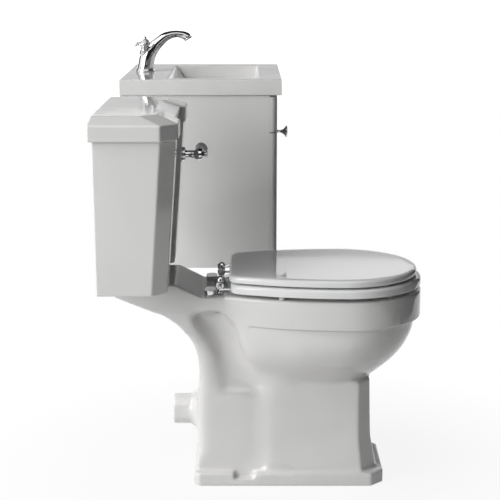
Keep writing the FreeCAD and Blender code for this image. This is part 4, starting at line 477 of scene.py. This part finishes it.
def one_skin(name, node, voxel):
    bm = bmesh.new()
    bm.from_mesh(frame["nodes"][node].data)
    bmesh.ops.remove_doubles(bm, verts=bm.verts, dist=1e-5)
    mesh = bpy.data.meshes.new(name)
    bm.to_mesh(mesh)
    bm.free()
    rough = bpy.data.objects.new(name, mesh)
    scene.collection.objects.link(rough)
    skin = rough.modifiers.new("skin", "REMESH")
    skin.mode = "VOXEL"
    skin.voxel_size = voxel
    graph = bpy.context.evaluated_depsgraph_get()
    even = bpy.data.meshes.new_from_object(rough.evaluated_get(graph))
    bpy.data.objects.remove(rough)
    bm = bmesh.new()
    bm.from_mesh(even)
    return bm


def smooth_down(bm, verts, passes):
    for _ in range(passes):
        bmesh.ops.smooth_vert(bm, verts=verts, factor=0.5, use_axis_x=True, use_axis_y=True,
                              use_axis_z=True)


# %% [markdown]
# Three steps shape the skin. The slope under the rim is squeezed upwards into one crisp line. A
# little smoothing rounds every other edge. Much more of it, in boxes that shrink step by step,
# fills the corners behind the bowl, behind the pedestal and further back, as wet slip does.

# %% The pan
VOXEL = 0.003
BOWL_MIDDLE = Vector((0.08, 0, 0.35))
STEP, STEP_FOOT, STEP_SQUEEZE = 0.355, 0.3365, 0.3
EDGE_PASSES = 5
SOFT_BOXES = [((-0.215, 0, 0.190), (0.020, 0.2, 0.402), 24),
              ((-0.3, 0.030, 0.045), (-0.130, 0.2, 0.240), 16),
              ((-0.100, 0.030, 0.020), (0.010, 0.2, 0.290), 16)]
SOFT_STEPS, SHRINK = 7, Vector((0.005, 0, 0.005))
CLOSEST_POINTS = 0.0007
FLAT_ANGLE = 0.5


def pan_points(low, high):
    """The pan's points between two corners, on both sides of its middle."""
    return [v for v in pan.verts if low[0] < v.co.x < high[0]
            and low[1] < abs(v.co.y) < high[1] and low[2] < v.co.z < high[2]]


pan = one_skin("pan", "toilet_pan", VOXEL)
slope = [v for v in pan_points((-0.095, 0, STEP_FOOT), (0.3, 0.2, STEP))
         if v.normal.dot(v.co - BOWL_MIDDLE) > 0]
bmesh.ops.scale(pan, vec=(1, 1, STEP_SQUEEZE), space=Matrix.Translation((0, 0, -STEP)),
                verts=slope)
step_line = set(pan_points((-0.080, 0, 0.343), (0.3, 0.2, 0.362)))
smooth_down(pan, [v for v in pan.verts if v not in step_line], EDGE_PASSES)
for step in range(SOFT_STEPS):
    for low, high, passes in SOFT_BOXES:
        near = pan_points(Vector(low) + SHRINK * step, Vector(high) - SHRINK * step)
        smooth_down(pan, [v for v in near if v not in step_line], passes)
bmesh.ops.remove_doubles(pan, verts=pan.verts, dist=CLOSEST_POINTS)
bmesh.ops.dissolve_limit(pan, angle_limit=math.radians(FLAT_ANGLE), verts=pan.verts,
                         edges=pan.edges)
piece("pan", pan, "root", ["toilet_pan"], "ceramic", flat_faces=True, scale=1, crease=80)

# %% [markdown]
# ## Seat and lid
# The seat's outline is a D: a half circle in front, two flat side curves and a straight back with
# rounded corners. Spinning a single vertex draws each curve, and a mirror gives the other half.

# %% The D outline
CORNER = 18


def half_outline(bm, tip, radius, back, side, height):
    front = bmesh.ops.create_vert(bm, co=(tip, 0, height))["vert"][0]
    centre = tip - radius
    swept = bmesh.ops.spin(bm, geom=[front], cent=(centre, 0, height), axis=(0, 0, 1),
                           angle=math.pi / 2, steps=28)
    widest = [g for g in swept["geom_last"] if isinstance(g, bmesh.types.BMVert)][0]
    swept = bmesh.ops.spin(bm, geom=[widest], cent=(centre, radius - side, height), axis=(0, 0, 1),
                           angle=math.asin((centre - back) / side), steps=14)
    corner = [g for g in swept["geom_last"] if isinstance(g, bmesh.types.BMVert)][0]
    middle = bmesh.ops.extrude_vert_indiv(bm, verts=[corner])["verts"][0]
    middle.co = (back, 0, height)
    return corner


def close_outlines(bm, corners):
    bmesh.ops.bevel(bm, geom=corners, offset=CORNER, affect="VERTICES", segments=8, profile=0.5,
                    material=-1)
    bmesh.ops.mirror(bm, geom=bm.verts[:] + bm.edges[:], axis="Y", merge_dist=0.01)
    bmesh.ops.remove_doubles(bm, verts=bm.verts, dist=0.01)


# %% The ring
RING_LOW, RING_TOP = 422.0, 440.0
TOP_ROUND, LOW_ROUND = 7.0, 2.0
ring = bmesh.new()
close_outlines(ring, [
    half_outline(ring, tip=279.6, radius=162.5, back=-122, side=625, height=RING_LOW),
    half_outline(ring, tip=220, radius=102, back=-66, side=480, height=RING_LOW)])
bmesh.ops.bridge_loops(ring, edges=ring.edges[:])
grown = bmesh.ops.extrude_face_region(ring, geom=ring.faces[:])
bmesh.ops.translate(ring, vec=(0, 0, RING_TOP - RING_LOW),
                    verts=[g for g in grown["geom"] if isinstance(g, bmesh.types.BMVert)])
bmesh.ops.recalc_face_normals(ring, faces=ring.faces)
upper = [e for e in creases(ring, 60) if min(v.co.z for v in e.verts) > RING_TOP - 1]
round_off(ring, upper, TOP_ROUND, 6)
lower = [e for e in creases(ring, 60) if max(v.co.z for v in e.verts) < RING_LOW + 1]
round_off(ring, lower, LOW_ROUND, 3)
piece("seat_ring_gloss", ring, "seat", ["seat_ring"], "seat", flat_faces=True)

# %% [markdown]
# The lid is one D drawn up and in: its outline is extruded ring by ring, each ring a little higher
# and a little smaller. The first rings roll round the lower edge, the next stand upright, and the
# last ones roll over the top and close in a slow crown, so that the lid mirrors in a curve.

# %% The lid
LID_LOW, LOWEST_INSET = 444.5, 2.0
LID_STEPS = [(445.1, 0.6), (446.5, 0), (453, 0), (455.4, 0.8), (457.3, 2.4), (458.5, 4.6),
             (459.0, 8), (459.1, 20), (459.2, 50), (459.25, 105)]
LID_MIDDLE, LID_REACH = Vector((80, 0, 0)), 175


def drawn_in(bm, verts, resize):
    """Resize points about the lid's middle, not in height."""
    bmesh.ops.scale(bm, vec=(resize, resize, 1), space=Matrix.Translation(-LID_MIDDLE), verts=verts)


def next_loop(bm, loop):
    """Extrude a closed loop of edges on the spot: the new points and their loop."""
    grown = bmesh.ops.extrude_edge_only(bm, edges=loop)["geom"]
    verts = [g for g in grown if isinstance(g, bmesh.types.BMVert)]
    edges = [g for g in grown if isinstance(g, bmesh.types.BMEdge)]
    return verts, [e for e in edges if all(v in verts for v in e.verts)]


lid = bmesh.new()
close_outlines(lid, [half_outline(lid, tip=270, radius=160, back=-125, side=600, height=LID_LOW)])
loop = lid.edges[:]
shrunk = 1 - LOWEST_INSET / LID_REACH
drawn_in(lid, lid.verts, shrunk)
bmesh.ops.contextual_create(lid, geom=loop)
for height, inset in LID_STEPS:
    verts, loop = next_loop(lid, loop)
    resize = (1 - inset / LID_REACH) / shrunk
    drawn_in(lid, verts, resize)
    bmesh.ops.translate(lid, vec=(0, 0, height - verts[0].co.z), verts=verts)
    shrunk *= resize
bmesh.ops.contextual_create(lid, geom=loop)
piece("seat_lid_gloss", lid, "seat_cover", ["seat_lid"], "seat")

# %% [markdown]
# Small rubber feet keep ring and lid off the hard surface below. Each is a short stub with an eased
# lower edge, so a turned profile is the quickest way to make it.

# %% Buffers under ring and lid
RIM = 413
RING_FOOT = [(0, 0), (0, 5.4), (1, 6), (9.2, 6), (9.2, 0)]
LID_FOOT = [(0, 0), (0, 5), (0.8, 6), (4.8, 6), (4.8, 0)]
pads = bmesh.new()
for sign in SIDES.values():
    for x, y in ((205, 108), (-17, 132)):
        turned(pads, RING_FOOT, (x, sign * y, RIM), steps=20)
piece("seat_buffers_soft", pads, "seat", ["seat_buffers"], "rubber")
pads = bmesh.new()
for sign in SIDES.values():
    turned(pads, LID_FOOT, (192, sign * 118, RING_TOP), steps=20)
piece("lid_buffers_soft", pads, "seat_cover", ["lid_buffers"], "rubber")

# %% [markdown]
# ## Turned metal
# Hinge posts, lever, knob and tap handles come off a lathe. A lathe is a spin: the profile is drawn
# once and turned about its axis, and a small bevel on the profile keeps the edges from being sharp.

# %% Hinge posts and pins
HINGE_X, HINGE_Y, HINGE_Z = -144, 64.7, 431
POST = [(374, 0), (374, 4), (412.5, 4), (412.5, 7.6), (414.4, 7.6), (415.6, 6.0), (417, 4.8),
        (418.6, 5.2), (420.4, 6.8), (423, 7.9), (426, 7.6), (428.2, 6.2), (429.4, 5.4),
        (430.6, 5.6), (432, 6.8), (434, 8.2), (437, 9.1), (440, 9.3), (443, 8.6), (446, 6.6),
        (448, 4.0), (448.8, 0)]
PIN = [(-29.8, 0), (-29.0, 2.4), (-27.2, 4.2), (-24.6, 5), (-22, 4.2), (-20.6, 2.8), (-19.6, 4),
       (19.6, 4), (20.6, 2.8), (22, 4.2), (24.6, 5), (27.2, 4.2), (29.0, 2.4), (29.8, 0)]
posts, pins = bmesh.new(), bmesh.new()
for sign in SIDES.values():
    turned(posts, POST, (HINGE_X, sign * HINGE_Y, 0), softness=0.35)
    turned(pins, PIN, (HINGE_X, sign * HINGE_Y, HINGE_Z), "Y", steps=24, softness=0.3)
piece("hinge_posts_turned", posts, "root", ["hinge_posts"], "chrome")
piece("hinge_pins_turned", pins, "root", ["hinge_pins"], "chrome")

# %% [markdown]
# Each post stands on a plated base: a thick boss with round ends, and a thin tongue in front of it
# that the post goes through. Both are blocks with their upright edges rounded almost to a half
# circle.

# %% Hinge bases
DECK = 409
BOSS_ROUND, TONGUE_ROUND = 11.8, 7.8
bases = bmesh.new()


def upright_edges(verts, front_only=False):
    near = sorted(v.co.x for v in verts)[len(verts) // 2] if front_only else -math.inf
    return {e for v in verts for e in v.link_edges
            if abs(e.verts[0].co.z - e.verts[1].co.z) > 1 and e.verts[0].co.x >= near}


for sign in SIDES.values():
    y = sign * HINGE_Y
    boss = block(bases, (-176.5, y - 19, DECK), (-152.5, y + 19, DECK + 11))
    round_off(bases, upright_edges(boss), BOSS_ROUND, 10)
    tongue = block(bases, (-161, y - 8, DECK), (-136, y + 8, DECK + 3.5))
    round_off(bases, upright_edges(tongue, front_only=True), TONGUE_ROUND, 8)
round_off(bases, creases(bases, 60), 0.9, 2)
piece("hinge_bases_plated", bases, "root", ["hinge_bases"], "chrome", flat_faces=True)

# %% [markdown]
# A strap carries the lid and another the ring: an eye on the pin, then a bar that bends forward to
# lie in the panel. A bent bar is one ring of vertices extruded from place to place, moved, leaned
# and resized at each stop. The same helper will draw the tap's swan neck.

# %% A bar drawn along stops


def drawn(bm, stops, segments):
    """Extrude one ring along stops of (place, lean in degrees, half depth, half width)."""
    ring_turn = Matrix.Rotation(math.pi / segments, 4, "Z")
    reach = math.sqrt(2) if segments == 4 else 1
    loop, made, before = None, [], None
    for place, lean, depth, width in stops:
        pose = (Matrix.Translation(place) @ Matrix.Rotation(math.radians(lean), 4, "Y")
                @ Matrix.Diagonal((depth, width, 1, 1)))
        if loop is None:
            verts = bmesh.ops.create_circle(bm, segments=segments, radius=reach,
                                            matrix=pose @ ring_turn)["verts"]
            loop = list({e for v in verts for e in v.link_edges})
        else:
            verts, loop = next_loop(bm, loop)
            bmesh.ops.transform(bm, matrix=pose @ before.inverted(), verts=verts)
        made, before = made + verts, pose
    ends = [e for e in {e for v in made for e in v.link_edges} if e.is_boundary]
    bmesh.ops.holes_fill(bm, edges=ends)
    return made


# %% Hinge straps
EYE = [(-4.3, 4.2), (-4.3, 7.9), (4.3, 7.9), (4.3, 4.2), (-4.3, 4.2)]
LID_STRAP = [(-144, 437.2, 60), (-139, 440.4, 54), (-133.5, 444, 60), (-129, 445.4, 84),
             (-86.5, 445.5, 90)]
RING_STRAP = [(-144, 423.2, 90), (-116, 423, 90), (-86.5, 423, 90)]
BAR_DEPTH, BAR_WIDTH = 1.45, 4.2
FROM_POST = 14.3
for name, body, path, offset in (("lid_straps", "seat_cover", LID_STRAP, -FROM_POST),
                                 ("seat_straps", "seat", RING_STRAP, FROM_POST)):
    straps = bmesh.new()
    for sign in SIDES.values():
        y = sign * (HINGE_Y + offset)
        turned(straps, EYE, (HINGE_X, y, HINGE_Z), "Y", steps=32, softness=0.5)
        drawn(straps, [((x, y, z), lean, BAR_DEPTH, BAR_WIDTH) for x, z, lean in path], 4)
    piece(name + "_bent", straps, body, [name], "chrome")

# %% [markdown]
# The flush lever has a moulded flange on the cistern, a shank with a round hub, a small button on
# its end, and an arm across the cistern that carries a white ball.

# %% Lever flange
LEVER = (-232.4, 150, 671)
FLANGE = [(0, 10), (0, 16.5), (7.4, 16.5), (9, 15.4), (9.4, 13.6), (8.2, 12.2), (5.0, 11.6),
          (5.0, 7), (0, 7), (0, 10)]
BUSH = [(-33, 6.4), (-33, 10), (0.2, 10), (0.2, 6.4), (-33, 6.4)]
plate = bmesh.new()
turned(plate, FLANGE, LEVER, "X", softness=0.4)
turned(plate, BUSH, LEVER, "X")
piece("lever_flange_turned", plate, "root", ["lever_flange"], "chrome")

# %% Lever and ball
HUB = (LEVER[0] + 40, LEVER[1], LEVER[2])
SHANK = [(-39, 0), (-39, 6), (5.2, 6), (5.4, 10.6), (7.4, 10.6), (8.6, 9.4), (12, 9.1), (22.6, 9.1),
         (24, 10.2), (26, 10.2), (27.2, 8.8), (29, 10), (31, 11.6), (34, 13.2), (37, 14.1),
         (40, 14.3), (43, 13.8), (46, 12.4), (49, 10), (51, 7), (51.8, 5.4), (53, 5.4), (54, 7.6),
         (56.4, 7.8), (57.4, 6.6), (57.6, 0)]
ARM = [(0, 0), (0, 6), (14, 5.4), (34, 4.2), (64, 3.6), (68, 4.6), (70, 5.2), (73, 4.2), (80, 3.6),
       (80, 0)]
BALL = [(-14.2, 0), (-14.2, 3.0), (-13.4, 5.6), (-11.2, 9.2), (-8, 12.1), (-4, 13.9), (0, 14.5),
        (4, 13.9), (8, 12.1), (11.2, 9.2), (13.4, 5.6), (14.5, 0)]
lever = bmesh.new()
turned(lever, SHANK, LEVER, "X", softness=0.4)
turned(lever, ARM, HUB, "Y", steps=28, softness=0.5)
piece("flush_lever_turned", lever, "lever", ["flush_lever"], "chrome")
ball = bmesh.new()
turned(ball, BALL, (HUB[0], HUB[1] + 90.5, HUB[2]), "Y", steps=36, softness=0.6)
piece("lever_ball_glazed", ball, "lever", ["lever_ball"], "ceramic")

# %% [markdown]
# The drawer has one small knob: a foot, a waist and a wide flat cap, turned in one profile.

# %% Drawer knob
VANITY_Y = 681.4
KNOB = [(0, 0), (0, 7.5), (2.2, 7.5), (4.0, 6.2), (6.5, 4.4), (11, 3.6), (15, 3.8), (19.5, 5.6),
        (23.5, 9.2), (26, 12.6), (27.4, 15), (29.6, 15), (31, 13.4), (31, 0)]
knob = bmesh.new()
turned(knob, KNOB, (FRONT_FACE, VANITY_Y, 655), "X", softness=0.5)
piece("drawer_knob_turned", knob, "drawer", ["drawer_knob"], "chrome")

# %% [markdown]
# ## The mixer tap
# The body is a swan neck: thick and round at its foot, thinner as it rises, bent over to the bowl.
# It is drawn like the straps, with a round ring, and a subdivision surface runs one smooth skin
# over the rings.

# %% Swan neck
TAP = Vector((-350, VANITY_Y, 809.6))
NECK = [(0, 3, 0, 21.8), (1, 12, 6, 20.6), (5, 34, 16, 20.4), (12, 50, 33, 19.2),
        (26.4, 65.7, 46, 15), (51.5, 87.5, 62, 11.8), (67, 93, 76, 9.6), (81, 95, 88, 8.4),
        (98, 92.6, 112, 9.6), (106, 88.6, 136, 11.2), (109.7, 85.1, 150, 12.2)]
LONGEST_STEP = 9
neck = bmesh.new()
drawn(neck, [(TAP + Vector((reach, 0, rise)), lean, radius, radius)
             for reach, rise, lean, radius in NECK], 20)
bmesh.ops.subdivide_edges(neck, edges=[e for e in neck.edges if e.calc_length() > LONGEST_STEP],
                          cuts=1, use_grid_fill=True, smooth=0.0)
spout = piece("tap_neck", neck, "root", ["tap_body"], "chrome")
smooth = spout.modifiers.new("one skin", "SUBSURF")
smooth.levels = smooth.render_levels = 2

# %% [markdown]
# A turned foot stands on the basin, and a stem leans out on each side to carry a handle. Stems and
# handles are turned upright at the origin, then leaned and set on the tap's shoulder.

# %% Foot and stems
SHOULDER = TAP + Vector((0, 0, 41))
TILT = math.radians(40)
FOOT = [(-58, 0), (-58, 16), (0, 16), (0, 25), (2.2, 25), (3.4, 23.6), (6.4, 22.8), (8.4, 21.2),
        (8.4, 0)]
STEM = [(0, 0), (0, 14.6), (10, 13.6), (17, 10.6), (20, 8.8), (21.6, 9.6), (23.2, 10), (25, 9.6),
        (26.2, 8.5), (29.8, 8.2), (30, 4), (41, 4), (41, 0)]


def lean_out(bm, verts, sign):
    """Put what was made upright at the origin on the tap's shoulder, leaning to one side."""
    bmesh.ops.transform(bm, verts=verts, matrix=Matrix.Translation(SHOULDER)
                        @ Matrix.Rotation(-sign * TILT, 4, "X"))


foot = bmesh.new()
turned(foot, FOOT, TAP, steps=48, softness=0.5)
for sign in SIDES.values():
    lean_out(foot, turned(foot, STEM, softness=0.5), sign)
piece("tap_foot_and_stems", foot, "root", ["tap_body"], "chrome")

# %% [markdown]
# The spout ends in a nozzle, a short turned ring that leans with the last stop of the neck.

# %% Nozzle
MOUTH_REACH, MOUTH_RISE, MOUTH_LEAN = NECK[-1][:3]
NOZZLE = [(-0.5, 5), (-0.5, 11.2), (1.2, 11.3), (2.2, 10.8), (2.6, 10.4), (4, 10.3), (4, 8.4),
          (1.4, 8), (1.4, 5), (-0.5, 5)]
nozzle = bmesh.new()
mouth = Matrix.Translation(TAP + Vector((MOUTH_REACH, 0, MOUTH_RISE)))
bmesh.ops.transform(nozzle, verts=turned(nozzle, NOZZLE, softness=0.3),
                    matrix=mouth @ Matrix.Rotation(math.radians(MOUTH_LEAN), 4, "Y"))
piece("spout_nozzle_turned", nozzle, "root", ["spout_nozzle"], "chrome")

# %% [markdown]
# Each handle is a turned hub with four turned arms at right angles, and a porcelain cap on top. One
# loop makes both handles, because they only differ in the side they lean to.

# %% Cross handles and their porcelain caps
HANDLE_HUB = [(41.4, 0), (41.4, 4.2), (30.4, 4.2), (30.4, 8.6), (31.4, 9.5), (33.6, 9.5), (35, 8.6),
              (39.6, 8.6), (41, 9.5), (43.2, 9.5), (44.3, 8.6), (44.3, 0)]
HANDLE_ARM = [(5, 0), (5, 3.6), (9.5, 3.4), (11.5, 2.7), (16, 2.5), (17.4, 3.0), (18.2, 2.6),
              (19.4, 3.4), (22, 4.3), (24.6, 3.4), (26.2, 0)]
CAP = [(44.2, 0), (44.2, 7), (45.6, 7), (46.6, 6.6), (47.4, 5.2), (47.9, 3), (48.05, 0)]
ARM_HEIGHT = Matrix.Translation((0, 0, 37.3))
LAID_FLAT = Matrix.Rotation(math.pi / 2, 4, "Y")
for side, sign in SIDES.items():
    cross = bmesh.new()
    whole = turned(cross, HANDLE_HUB, softness=0.35)
    for quarter in range(4):
        arm = turned(cross, HANDLE_ARM, steps=20, softness=0.3)
        facing = Matrix.Rotation(quarter * math.pi / 2, 4, "Z")
        bmesh.ops.transform(cross, verts=arm, matrix=ARM_HEIGHT @ facing @ LAID_FLAT)
        whole += arm
    lean_out(cross, whole, sign)
    piece(f"cross_handle_{side}", cross, f"{side}_handle", [f"tap_handle_{side}"], "chrome")
    cap = bmesh.new()
    lean_out(cap, turned(cap, CAP, softness=0.4), sign)
    piece(f"porcelain_cap_{side}", cap, f"{side}_handle", [f"handle_cap_{side}"], "ceramic")

# %% [markdown]
# ## Plug and drawer
# The plug is a low dome on a stem, turned like the rest. The drawer's boards only need their
# saw-sharp edges eased, because nobody can cut a board to a perfect corner.

# %% Plug and drawer boards
PLUG = [(673.6, 0), (673.6, 5), (711.6, 5), (711.6, 23.6), (712.6, 25), (714.2, 25), (715.8, 23.4),
        (717, 17), (717.6, 6), (717.6, 0)]
plug = bmesh.new()
turned(plug, PLUG, (-139, VANITY_Y, 0), steps=48, softness=0.5)
piece("waste_plug_turned", plug, "plug", ["waste_plug"], "chrome")
for board in ("drawer_sides", "drawer_back"):
    softened(board, "drawer", width=0.8, segments=2)
